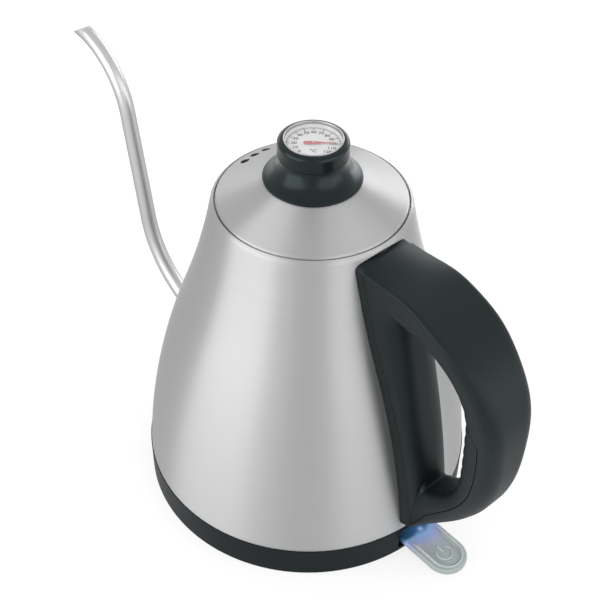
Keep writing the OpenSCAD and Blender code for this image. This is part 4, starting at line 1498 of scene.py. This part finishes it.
    def parted(self, part: HandlePart) -> tuple[np.ndarray, ...]:
        """Picks the rows of one moulding.

        The cover's rows start at its slanted upper end and run on past the loop's seam.

        Args:
            part: Which moulding.

        Returns:
            Its rows, their depths, the depths of its edge at the parting, and those of the ribs.
        """
        rows = self.rows()
        places = rows[:, Row.INNER : Row.CORNER]
        depth = np.linalg.norm(places - rows[:, : Row.INNER], axis=1)
        limit = depth + (rows[:, Row.PARTING] - depth) * rows[:, Row.COVER]
        step = np.linalg.norm(np.diff(places, axis=0, prepend=places[:1]), axis=1)
        wave = 0.5 - 0.5 * np.cos(2 * np.pi * np.cumsum(step) / self.rib_pitch)
        gripped = smooth_step(*self.rib_x, places[:, 0]) * smooth_step(*self.rib_z, places[:, 1])
        ribs = self.rib * wave * gripped
        if part is HandlePart.SHELL:
            return rows, depth, limit - self.parting_gap / 2, ribs
        edge = limit + self.parting_gap / 2
        kept = np.flatnonzero((rows[:, Row.CUT] > 0) & (depth - edge > self.cover_least))
        kept = np.roll(kept, -int(np.flatnonzero(np.diff(kept) > 1)[0]) - 1)
        rows = rows[kept]
        before, end = rows[-2, : Row.CORNER], rows[-1, : Row.CORNER]
        rows[-1, : Row.CORNER] = before * self.cover_end + end * (1 - self.cover_end)
        return rows, depth[kept], edge[kept], ribs[kept]

    def section(self, part: HandlePart) -> np.ndarray:
        """Lays one moulding's section over each of its rows.

        The parting cuts a section straight across at a depth, and the cover's tongue closes the cut
        behind its groove. A point at depth a and distance b from the middle lies at the row's outer
        place + a (inner place - outer place) / depth, and b sideways.

        Args:
            part: Which moulding.

        Returns:
            Grid of points (rows, columns, 3).
        """
        rows, depth, edge, ribs = self.parted(part)
        outer, inner = rows[:, : Row.INNER], rows[:, Row.INNER : Row.CORNER]
        corner, deep, wide, _, _, swell, cut = (column[:, None] for column in rows[:, Row.CORNER :].T)
        depth, edge, ribs = depth[:, None], edge[:, None], ribs[:, None]
        width = self.half_width((outer + inner)[:, 1:] / 2) + swell
        corner = np.minimum(corner, self.corner_most * np.minimum(depth * (1 - deep), width))
        half = Section(depth, width, corner, deep * depth, wide * width, ribs, self.dense)
        parting = half.at_depth(edge)
        a_edge, b_edge = half.outline(parting)
        middle, end = 0 * parting, 0 * parting + half.end
        if part is HandlePart.SHELL:
            first = half.outline(half.spread(middle, parting, np.linspace(0, 1, self.shell_columns[0])))
            share = np.linspace(0, 1, self.shell_columns[1])[1:]
            a_rest, b_rest = half.outline(half.spread(parting, end, share))
            last = np.where(cut > 0, a_edge, a_rest), np.where(cut > 0, b_edge * (1 - share), b_rest)
        else:
            share = np.linspace(0, 1, self.cover_columns[0])[:-1]
            first = a_edge - self.tongue + 0 * share, b_edge * share
            last = half.outline(half.spread(parting, end, np.linspace(0, 1, self.cover_columns[1])))
        a, b = (np.concatenate(pair, 1) for pair in zip(first, last))
        a, b = np.concatenate([a, a[:, -2:0:-1]], 1), np.concatenate([b, -b[:, -2:0:-1]], 1)
        way = (inner - outer) / depth
        x, z = np.moveaxis(outer[:, None] + way[:, None] * a[..., None], -1, 0)
        y = b * (self.half_width(z) + swell * (1 - a / depth)) / width
        return np.stack([x, y, z - self.fall(x, y, z)], -1)

    def strip(self) -> Surface:
        """Lays the strip between body and shell: at each height flat to the shell, round to the body.

        Returns:
            The strip.
        """
        start = self.top_z - self.strip_round
        cap = self.strip_round * np.sin(np.radians(np.linspace(0, 90, self.cap_rows)))
        rise = np.linspace(self.strip_foot, start, self.strip_rows)[:-1]
        z = np.concatenate([rise, start + cap])[:, None]
        over = np.clip(z - start, 0, None)
        rounding = np.sqrt(np.clip(self.strip_round**2 - over**2, 0, None))
        width = self.half_width(z) - self.strip_round + rounding
        share = np.sin(np.radians(np.linspace(-90, 90, self.strip_columns)))
        flare = self.strip_flare * (self.top_z - z) / (self.top_z - self.strip_foot)
        near, far = width * share, (width + flare) * share[::-1]
        x_near = self.seat_x(z) - self.seam + 0 * near
        z_far = z - self.fall(0 * far, far, z)
        x_far = np.sqrt((self.form.radius(z_far) + self.strip_gap) ** 2 - far**2)
        x, y = np.concatenate([x_near, x_far], 1), np.concatenate([near, far], 1)
        return skin(np.stack([x, y, z - self.fall(x, y, z)], -1), capped=True)

    def build(self) -> None:
        """Makes the three mouldings and dresses the fixings inside."""
        shell = skin(self.section(HandlePart.SHELL), along=True).welded()
        put("handle_outer", shell, "kettle", Palette.BLACK, ("handle_shell",))
        cover = skin(self.section(HandlePart.COVER), capped=True).welded()
        put("handle_grip_cover", cover, "kettle", Palette.BLACK, ("handle_cover",))
        put("handle_strip", self.strip(), "kettle", Palette.BLACK, ("handle_mount",), self.strip_crease)
        dress_nodes(dict.fromkeys(("handle_studs", "mount_screws", "cover_screws"), Palette.POLISHED))


@dataclass
class Lid:
    """Lid with its knob and the dark sheet under its vents, which is painted shade."""

    foot_z: float = 175.74
    flange_r: float = 21.7
    flange_round: float = 0.35
    lip: float = 1.0
    lip_in: float = 0.3
    lip_drop: float = 0.1
    lip_round: float = 0.3
    flare_lean: float = 22.0
    flare_rows: int = 28
    waist_r: float = 13.4
    waist_z: float = 187.14
    head_r: float = 15.4
    head_rise: float = 0.3
    head_round: float = 0.7
    top_z: float = 195.34
    top_round: float = 2.0
    bore_r: float = 12.95
    bore_z: float = 186.9
    bore_round: float = 0.25
    stem_r: float = 3.2
    pitch: float = 25.6
    cone_gap: float = 0.7
    vent_bearing: float = 183.0
    # The dark sheet under the vents, painted shade that keeps them dark.
    screen_turn: float = 16.0
    screen_r: Pair = (33.5, 40.0)
    screen_drop: float = 0.3
    screen_t: float = 0.3
    screen_rows: int = 33
    screen_columns: int = 8

    def knob(self) -> Surface:
        """Turns the knob: a lipped flange, part of an ellipse for the flare, and a head over a waist.

        The flare's first two points are left out, where the lip's slope takes their place.

        Returns:
            The knob.
        """
        rim = math.radians(self.flare_lean)
        start = self.flange_r - self.lip_in
        across = (start - self.waist_r) / (1 - math.sin(rim))
        rise = (self.waist_z - self.foot_z - self.lip) / math.cos(rim)
        t = np.linspace(rim, np.pi / 2, self.flare_rows)[2:]
        flare = np.stack([self.waist_r + across * (1 - np.sin(t)), self.waist_z - rise * np.cos(t)], -1)
        lip = rounded(
            [
                (self.stem_r, self.foot_z, 0),
                (self.flange_r, self.foot_z, self.flange_round),
                (self.flange_r, self.foot_z + self.lip - self.lip_drop, self.lip_round),
                (*flare[0], 0),
            ],
            closed=False,
        )
        head = rounded(
            [
                (self.waist_r, self.waist_z, 0),
                (self.head_r, self.waist_z + self.head_rise, self.head_round),
                (self.head_r, self.top_z, self.top_round),
                (self.bore_r, self.top_z, self.bore_round),
                (self.bore_r, self.bore_z, 0),
                (self.stem_r, self.bore_z, 0),
            ],
            closed=False,
        )
        return lathe(np.concatenate([lip, flare[1:], head[1:]]), ring=True)

    def screen(self) -> Surface:
        """Lays a dark sheet under the vents as painted shade: a patch of the lid's cone, lowered and given
        a thickness.

        A point at bearing a and radius r lies at height top - (r - top radius) tan pitch, less a depth.

        Returns:
            The sheet of painted shade.
        """
        bearing = self.vent_bearing + np.linspace(-self.screen_turn, self.screen_turn, self.screen_rows)
        out = np.linspace(*self.screen_r, self.screen_columns)
        r = np.concatenate([out, out[::-1]])
        drop = self.screen_drop + np.repeat([0.0, self.screen_t], self.screen_columns)
        z = self.foot_z - (r - self.flange_r + self.cone_gap) * math.tan(math.radians(self.pitch)) - drop
        return skin(polar(r, np.radians(bearing)[:, None], z), capped=True)

    def build(self) -> None:
        """Makes the knob and the dark sheet of painted shade under the vents, and dresses the lid's CAD
        nodes.
        """
        put("turned_knob", self.knob(), "lid", Palette.KNOB, ("lid_knob",))
        # A dark sheet under the vents: painted shade.
        put("vent_shade_sheet", self.screen(), "lid", Palette.GAUZE)
        dress_nodes(
            {
                "lid_shell": Palette.BRUSHED,
                "lid_skirt": Palette.INNER,
                "lid_gasket": Palette.SILICONE,
                "knob_washer": Palette.POLISHED,
                "knob_nut": Palette.POLISHED,
            }
        )


@dataclass
class Thermometer:
    """Dial thermometer in the knob, with a scale from 0 to 120 over three quarters of a turn.

    The pointer's widths pair a distance from its pivot with half its width there.
    """

    ink_z: float = 192.87
    up: float = 137.0
    full: int = 120
    ten: int = 10
    tick: int = 2
    sweep: float = 270.0
    tick_out: float = 11.5
    tick_in: Pair = (9.9, 10.7)
    tick_half: Pair = (0.22, 0.13)
    band_r: Pair = (11.46, 11.62)
    number_h: float = 1.75
    number_r: float = 8.2
    unit_h: float = 2.1
    unit_r: float = 5.4
    letter_size: float = 1.4
    letter_weight: float = 0.07
    letter_steps: int = 3
    pointer_z: float = 193.36
    pointer_t: float = 0.17
    pointer_turn: float = 47.3
    pointer_end: float = 0.25
    pointer_half: Table = ((-4.2, 0.5), (-3.9, 1.0), (-1.0, 1.15), (1.6, 0.95), (4.0, 0.42), (9.6, 0.1))
    pointer_rows: int = 28
    pointer_columns: int = 12
    wall_r: float = 12.25
    wall_low_r: float = 11.85
    wall_high_r: float = 12.05
    wall_z: Pair = (192.86, 194.39)
    lens_low: float = 194.44
    lens_high: float = 195.32
    lens_dome: float = 0.25
    lens_start: float = 0.3
    lens_r: float = 12.3
    lens_rows: int = 24
    bezel_in: float = 12.2
    bezel_out: float = 12.9
    bezel_crown: float = 12.45
    bezel_foot: float = 195.36
    bezel_inner: float = 195.54
    bezel_side: float = 195.75
    bezel_top: float = 195.85
    bezel_rounds: tuple[float, ...] = (0.1, 0.2, 0.35, 0.15, 0.08)

    def bearing(self, reading: np.ndarray | float) -> np.ndarray:
        """Angle about +Z in degrees at which a reading lies."""
        return self.up + self.sweep / 2 - np.asarray(reading, float) / self.full * self.sweep

    def ticks(self) -> Surface:
        """Prints the marks: each reading's four corners lie at two radii, either side of its angle.

        Returns:
            The flat marks.
        """
        reading = np.arange(0, self.full + 1, self.tick)
        ten = reading % self.ten == 0
        inner, outer = np.where(ten, *self.tick_in), np.full(len(reading), self.tick_out)
        half = np.where(ten, *self.tick_half)
        a = np.radians(self.bearing(reading))
        out, across = np.stack([np.cos(a), np.sin(a)], -1), np.stack([-np.sin(a), np.cos(a)], -1)
        spots = [
            out * r[:, None] + across * (side * half)[:, None]
            for r, side in ((inner, 1), (inner, -1), (outer, -1), (outer, 1))
        ]
        flat = np.stack(spots, 1).reshape(-1, 2)
        z = np.full((len(flat), 1), self.ink_z)
        return Surface(np.hstack([flat, z]), [np.arange(len(flat)).reshape(-1, 4)])

    def band(self) -> Surface:
        """Thin printed arc that joins the marks, as quads between two radii."""
        a = np.radians(self.bearing(np.arange(self.full, -1, -1)))[:, None]
        return skin(polar(np.array(self.band_r), a, self.ink_z), around=False)

    def word(self, text: str, height: float, bearing: float, radius: float) -> Surface:
        """Prints a word as flat faces, upright to the dial.

        Args:
            text: The word.
            height: Letter height in millimetres.
            bearing: Angle in degrees at which its middle lies.
            radius: Its middle's distance from the dial's.

        Returns:
            The flat surface.
        """
        curve = bpy.data.curves.new("dial_word", "FONT")
        curve.body, curve.size = text, height * MM * self.letter_size
        curve.align_x, curve.align_y = "CENTER", "CENTER"
        curve.resolution_u = self.letter_steps
        curve.offset = self.letter_weight * MM
        holder = bpy.data.objects.new("dial_word", curve)
        mesh = bpy.data.meshes.new_from_object(holder)
        points = np.zeros(len(mesh.vertices) * 3)
        mesh.vertices.foreach_get("co", points)
        mesh.calc_loop_triangles()
        corners = np.zeros(len(mesh.loop_triangles) * 3, np.int32)
        mesh.loop_triangles.foreach_get("vertices", corners)
        bpy.data.objects.remove(holder)
        bpy.data.curves.remove(curve)
        bpy.data.meshes.remove(mesh)
        flat = Surface(points.reshape(-1, 3) / MM, [corners.reshape(-1, 3)])
        a = math.radians(bearing)
        place = Matrix.Translation((radius * math.cos(a), radius * math.sin(a), self.ink_z))
        return flat.moved(np.array(place @ Matrix.Rotation(math.radians(self.up - 90), 4, "Z")))

    def ink(self) -> Surface:
        """Puts all of the dial's ink together.

        Returns:
            Marks, band, numbers and unit.
        """
        words = [
            self.word(str(reading), self.number_h, float(self.bearing(reading)), self.number_r)
            for reading in range(0, self.full + 1, self.ten)
        ]
        words.append(self.word("°C", self.unit_h, self.up + 180, self.unit_r))
        return self.ticks().joined(self.band(), *words)

    def needle(self) -> Surface:
        """Shapes the pointer: a width that narrows to the tip is carried along, with domed faces.

        Returns:
            The pointer.
        """
        tail, tip = self.pointer_half[0][0], self.pointer_half[-1][0]
        s = np.concatenate([[tail], np.linspace(tail + self.pointer_end, tip, self.pointer_rows)])[:, None]
        a = full_turn(self.pointer_columns)
        across = tabled(s, self.pointer_half) * np.cos(a)
        turn = math.radians(self.pointer_turn)
        x = s * math.cos(turn) - across * math.sin(turn)
        y = s * math.sin(turn) + across * math.cos(turn)
        z = self.pointer_z + self.pointer_t * np.sin(a) + 0 * s
        return skin(np.stack([x, y, z], -1), capped=True)

    def bezel(self) -> Surface:
        """Turns a ring with a rolled outer edge and a slope down to the lens.

        Returns:
            The ring.
        """
        corners = [
            (self.bezel_in, self.bezel_foot),
            (self.bezel_out, self.bezel_foot),
            (self.bezel_out, self.bezel_side),
            (self.bezel_crown, self.bezel_top),
            (self.bezel_in, self.bezel_inner),
        ]
        profile = rounded([(*corner, radius) for corner, radius in zip(corners, self.bezel_rounds)])
        return lathe(profile, ring=True)

    def wall(self) -> Surface:
        """Turns a pale ring that slopes from the dial's edge up to the bezel.

        Returns:
            The ring.
        """
        low, high = self.wall_z
        inner = [(self.wall_low_r, low), (self.wall_high_r, high)]
        return lathe(np.array([(self.wall_r, low), *inner, (self.wall_r, high)]), ring=True)

    def lens(self) -> Surface:
        """Turns a clear disc whose upper face is a dome, height falling with radius squared.

        Returns:
            The disc.
        """
        r = np.linspace(self.lens_start, self.lens_r, self.lens_rows)
        top = np.stack([r, self.lens_high + self.lens_dome * (1 - (r / self.lens_r) ** 2)], -1)
        low = np.stack([r[::-1], np.full(len(r), self.lens_low)], -1)
        return lathe(np.concatenate([top, low]), ring=False)

    def build(self) -> None:
        """Makes the dial's pieces and dresses the CAD nodes that stay."""
        put("dial_ink", self.ink(), "lid", Palette.PRINT)
        put("dial_wall", self.wall(), "lid", Palette.DIAL)
        put("dial_bezel", self.bezel(), "lid", Palette.INNER, ("thermometer_bezel",))
        put("dial_lens", self.lens(), "lid", Palette.LENS, ("thermometer_lens",))
        put("dial_needle", self.needle(), "pointer", Palette.RED, ("dial_pointer",))
        dress_nodes(
            {
                "dial_plate": Palette.DIAL,
                "thermometer_case": Palette.INNER,
                "probe_stem": Palette.POLISHED,
                "bimetal_helix": Palette.BIMETAL,
                "pointer_shaft": Palette.POLISHED,
            }
        )


@dataclass
class Switch:
    """Rocking lever with a sunk panel, a raised power symbol and a lamp in its root."""

    root_x: float = 76.6
    tip_x: float = 110.2
    half_w: float = 10.2
    low_z: float = 6.6
    top_z: float = 9.8
    edge: float = 1.1
    foot: float = 0.8
    ridge_at: float = 2.3
    ridge: float = 0.45
    ridge_half: float = 0.3
    ridge_run: float = 5.0
    ridge_clear: float = 0.5
    ridge_span: Pair = (-0.35, 0.45)
    rim: float = 3.4
    rim_half: float = 0.3
    panel_x: float = 85.0
    panel_run: float = 9.0
    panel_depth: float = 0.75
    lamp_x: float = 82.7
    stop_gap: float = 0.2
    stop_rows: int = 14
    tip_rows: int = 73
    edge_columns: int = 8
    slope_columns: int = 4
    ridge_columns: int = 9
    rim_columns: int = 7
    panel_columns: int = 9
    foot_columns: int = 7
    crease: float = 50.0
    icon_x: float = 99.0
    icon_r: float = 3.9
    icon_w: float = 0.5
    icon_gap: float = 38.0
    icon_least: float = 0.04
    icon_columns: int = 12
    icon_rows: int = 60
    icon_blunt: int = 12
    bar_start: float = 0.6
    bar_past: float = 1.3
    bar_rows: int = 16
    bar_blunt: int = 8
    pivot_x: float = 73.0
    pivot_z: float = 8.0
    hub_r: float = 3.4
    hub_bore: float = 1.55
    hub_half: float = 9.6
    hub_rounds: Pair = (0.1, 0.4)
    hub_segments: int = 48
    tail_x: float = 59.0
    tail_z: float = 8.6
    tail_lap: float = 0.6
    tail_half_w: float = 4.0
    tail_half_t: float = 1.2
    tail_round: float = 0.4
    tail_narrow: float = 0.8
    tail_rows: int = 12

    def depths(self) -> np.ndarray:
        """Picks the distances in from the edge at which the blade's upper face has points.

        Returns:
            Distances in millimetres, closest at the edge, the ridge and the panel's rim.
        """
        quarter = np.radians(np.linspace(0, 90, self.edge_columns))
        return np.concatenate(
            [
                self.edge * (1 - np.cos(quarter)),
                np.linspace(self.edge, self.ridge_at - self.ridge_clear, self.slope_columns)[1:],
                self.ridge_at + np.linspace(*self.ridge_span, self.ridge_columns),
                self.rim + np.linspace(-self.rim_half, self.rim_half, self.rim_columns),
                np.linspace(self.rim + 2 * self.rim_half, self.half_w, self.panel_columns),
            ]
        )

    def paddle(self) -> Surface:
        """Carries the lever blade's section round its outline.

        A row starts at an outline point Q and runs to the nearest point M of the middle line; at
        distance d in from the edge it lies at Q + (M - Q) d / w. Its height there is a quarter
        circle at the edge, then a ridge and a sunk panel; the lamp lies under the skin of the root.

        Returns:
            The blade.
        """
        middle = self.tip_x - self.half_w
        stops = [self.root_x, self.lamp_x, self.panel_x, middle]
        gap = self.stop_gap
        runs = [np.linspace(a + gap, b - gap, self.stop_rows) for a, b in zip(stops, stops[1:])]
        x = np.concatenate([[self.root_x], *runs, [middle]])
        turn = np.radians(np.linspace(90, -90, self.tip_rows))[1:-1]
        spine = np.concatenate([x, np.full(len(turn), middle), x[::-1]])[:, None]
        away = np.concatenate([np.full(len(x), np.pi / 2), turn, np.full(len(x), -np.pi / 2)])[:, None]
        top_d = self.depths()
        along = spine + np.clip(np.cos(away), 0, None) * (self.half_w - top_d)
        panel = smooth_step(self.rim - self.rim_half, self.rim + self.rim_half, top_d)
        panel = panel * smooth_step(0, self.panel_run, along - self.panel_x)
        ridge = np.exp(-(((top_d - self.ridge_at) / self.ridge_half) ** 2))
        ridge = ridge * smooth_step(0, self.ridge_run, along - self.lamp_x)
        fall = np.clip(self.edge - top_d, 0, None)
        top = self.top_z - self.edge + np.sqrt(self.edge**2 - fall**2)
        top = top - self.panel_depth * panel + self.ridge * ridge
        quarter = np.radians(np.linspace(0, 90, self.foot_columns))
        low_d = np.concatenate([[self.half_w], self.foot * (1 - np.sin(quarter))])
        low = self.low_z + self.foot - np.sqrt(self.foot**2 - np.clip(self.foot - low_d, 0, None) ** 2)
        d = np.concatenate([low_d, top_d])
        z = np.concatenate([np.broadcast_to(low, (len(spine), len(low))), top], 1)
        out = self.half_w - d
        points = np.stack([spine + np.cos(away) * out, np.sin(away) * out, z], -1)
        return skin(points, around=False, along=True).welded().outward()

    def ridged(self, x: np.ndarray, y: np.ndarray, blunt: int) -> Surface:
        """Lays a round ridge on the panel along a path, with its radius falling off at the ends.

        Args:
            x: The path's places along the lever.
            y: Its places across.
            blunt: Even power of the way from the path's middle by which the radius falls off.

        Returns:
            The ridge.
        """
        path = np.stack([x, y, np.full(len(x), self.top_z - self.panel_depth)], -1)
        ends = np.sqrt(np.clip(1 - np.linspace(-1, 1, len(x)) ** blunt, self.icon_least, 1))
        return tube(path, self.icon_w * ends, np.array([0, 0, 1.0]), self.icon_columns)

    def icon(self) -> Surface:
        """Raises the power symbol: a round ridge along an open circle and one along a bar.

        Returns:
            The symbol.
        """
        a = np.radians(np.linspace(self.icon_gap - 180, 180 - self.icon_gap, self.icon_rows))
        x, y = self.icon_x + self.icon_r * np.cos(a), self.icon_r * np.sin(a)
        bar = self.icon_x - np.linspace(self.bar_start, self.icon_r + self.bar_past, self.bar_rows)
        return self.ridged(x, y, self.icon_blunt).joined(self.ridged(bar, 0 * bar, self.bar_blunt))

    def hub(self) -> Surface:
        """Turns the pivot barrel, a ring section, about the lever's axis.

        Returns:
            The barrel.
        """
        half, (small, large) = self.hub_half, self.hub_rounds
        inside, outside = (self.hub_bore, small), (self.hub_r, large)
        around = ((inside, -half), (outside, -half), (outside, half), (inside, half))
        profile = rounded([(r, z, radius) for (r, radius), z in around])
        ring = lathe(profile, ring=True, segments=self.hub_segments)
        x, y, z = ring.points.T
        return Surface(np.stack([x + self.pivot_x, z, y + self.pivot_z], -1), ring.faces).outward()

    def tail(self) -> Surface:
        """Shapes the inner arm that works the contact: a rounded section that narrows along -X.

        Returns:
            The arm.
        """
        w, t = self.tail_half_w, self.tail_half_t
        section = rounded([(y, z, self.tail_round) for y, z in ((w, t), (-w, t), (-w, -t), (w, -t))])
        start = self.pivot_x - self.hub_r + self.tail_lap
        x = np.linspace(start, self.tail_x, self.tail_rows)[:, None]
        share = np.linspace(1, self.tail_narrow, self.tail_rows)[:, None]
        y, z = section.T
        return skin(np.stack([x + 0 * y, y * share, self.tail_z + z * share], -1), capped=True)

    def build(self) -> None:
        """Makes the lever and dresses its lamp."""
        put("lever_blade", self.paddle(), "lever", Palette.SMOKE, ("switch_lever",), self.crease)
        # The symbol's paler colour is a painted highlight.
        put("lever_symbol", self.icon(), "lever", Palette.SYMBOL)
        put("lever_hub", self.hub().joined(self.tail()), "lever", Palette.SMOKE)
        dress_nodes({"lever_led": Palette.LED})


# Studio


@dataclass(frozen=True)
class SoftBox:
    """A flat lamp, placed in metres by its bearing in degrees from the camera's side."""

    name: str
    bearing: float
    distance: float
    height: float
    size: Pair
    power: float

    def build(self, facing: float, target: Place) -> None:
        """Makes the lamp, unseen by the camera.

        Args:
            facing: Bearing of the camera's side.
            target: The place that the lamp looks at.
        """
        data = bpy.data.lights.new(self.name, "AREA")
        data.shape = "RECTANGLE"
        data.size, data.size_y = self.size
        data.energy = self.power
        a = math.radians(facing + self.bearing)
        place = Vector((self.distance * math.cos(a), self.distance * math.sin(a), self.height))
        lamp = bpy.data.objects.new(self.name, data)
        lamp.location = place
        lamp.rotation_euler = (Vector(target) - place).to_track_quat("-Z", "Y").to_euler()
        lamp.visible_camera = False
        bpy.context.scene.collection.objects.link(lamp)


@dataclass
class Studio:
    """White room, soft lamps and the camera, in metres."""

    camera_at: Place = (0.2963, -0.2734, 0.4735)
    camera_way: Place = (-0.5474, 0.4937, -0.6757)
    camera_roll: float = 0.94
    camera_lens: float = 69.912
    camera_sensor: float = 36.0
    camera_sees: Pair = (0.01, 50.0)
    sky: float = 0.89
    white: Colour = (1.0, 1.0, 1.0)
    floor_white: float = 0.75
    floor_grey: Colour = (0.6, 0.6, 0.6)
    floor_roughness: float = 0.9
    floor_half: float = 5.0
    floor_z: float = -0.0001
    lamps_from: float = -42.7
    lamps_look_at: Place = (0.0, 0.0, 0.09)
    lamps: tuple[SoftBox, ...] = (
        SoftBox("left", -60, 0.9, 0.42, (0.95, 0.9), 5.7),
        SoftBox("left of camera", -24, 0.95, 0.42, (0.3, 0.9), 0.45),
        SoftBox("right", 44, 1.0, 0.45, (1.0, 0.9), 3.8),
        SoftBox("back right", 152, 1.0, 0.38, (0.7, 0.5), 3.3),
        SoftBox("far right", 80, 1.0, 0.3, (0.5, 0.5), 1.1),
        SoftBox("back left", -157, 1.0, 0.38, (0.7, 0.5), 1.2),
    )

    def floor(self) -> None:
        """Lays a pale floor that looks white and keeps the kettle's shadow."""
        half = self.floor_half
        corners = [(x * half, y * half, self.floor_z) for x, y in ((-1, -1), (1, -1), (1, 1), (-1, 1))]
        mesh = bpy.data.meshes.new("studio_floor")
        mesh.from_pydata(corners, [], [(0, 1, 2, 3)])
        floor = bpy.data.objects.new("studio_floor", mesh)
        bpy.context.scene.collection.objects.link(floor)
        graph = Graph("studio floor")
        seen = graph.seen_rays()
        shade = graph.blend(seen, self.floor_grey, self.white)
        graph.set(Base_Color=shade, Roughness=self.floor_roughness, Specular_IOR_Level=0.0)
        shine = graph.add("ShaderNodeEmission").outputs[0]
        share = graph.maths("MULTIPLY", seen, self.floor_white)
        mix = graph.add("ShaderNodeMixShader", share, graph.shader.outputs[0], shine)
        graph.feed(graph.tree.nodes["Material Output"].inputs["Surface"], mix.outputs[0])
        mesh.materials.append(graph.material)

    def room(self) -> None:
        """Makes a world that looks white and lights at a lower level."""
        world = bpy.data.worlds.new("studio world")
        bpy.context.scene.world = world
        world.use_nodes = True
        nodes = Nodes(world.node_tree)
        background = nodes.tree.nodes["Background"].inputs
        nodes.feed(background["Strength"], nodes.span(nodes.seen_rays(), UNIT, (self.sky, 1.0)))
        nodes.feed(background["Color"], self.white)

    def camera(self) -> None:
        """Puts the camera at the picture's own place, turned by its small roll."""
        data = bpy.data.cameras.new("camera")
        data.lens, data.sensor_width = self.camera_lens, self.camera_sensor
        data.clip_start, data.clip_end = self.camera_sees
        camera = bpy.data.objects.new("camera", data)
        bpy.context.scene.collection.objects.link(camera)
        way = Vector(self.camera_way).normalized()
        right = way.cross(Vector((0, 0, 1))).normalized()
        up = right.cross(way)
        roll = math.radians(self.camera_roll)
        across = right * math.cos(roll) + up * math.sin(roll)
        upward = -right * math.sin(roll) + up * math.cos(roll)
        turn = Matrix((across, upward, -way)).transposed().to_4x4()
        camera.matrix_world = Matrix.Translation(self.camera_at) @ turn
        bpy.context.scene.camera = camera

    def build(self) -> None:
        """Sets up the whole studio."""
        bpy.context.scene.view_settings.view_transform = "Standard"
        self.room()
        self.floor()
        self.camera()
        for lamp in self.lamps:
            lamp.build(self.lamps_from, self.lamps_look_at)


def main() -> None:
    """Builds every sub-assembly in order."""
    logging.basicConfig(level=logging.INFO, format="%(message)s")
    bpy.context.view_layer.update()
    form = BodyForm()
    for part in (Vessel(), Spout(form), Handle(form), Lid(), Thermometer(), Switch()):
        LOG.info("building %s", type(part).__name__)
        part.build()
    Studio().build()


if __name__ == "__main__":
    main()
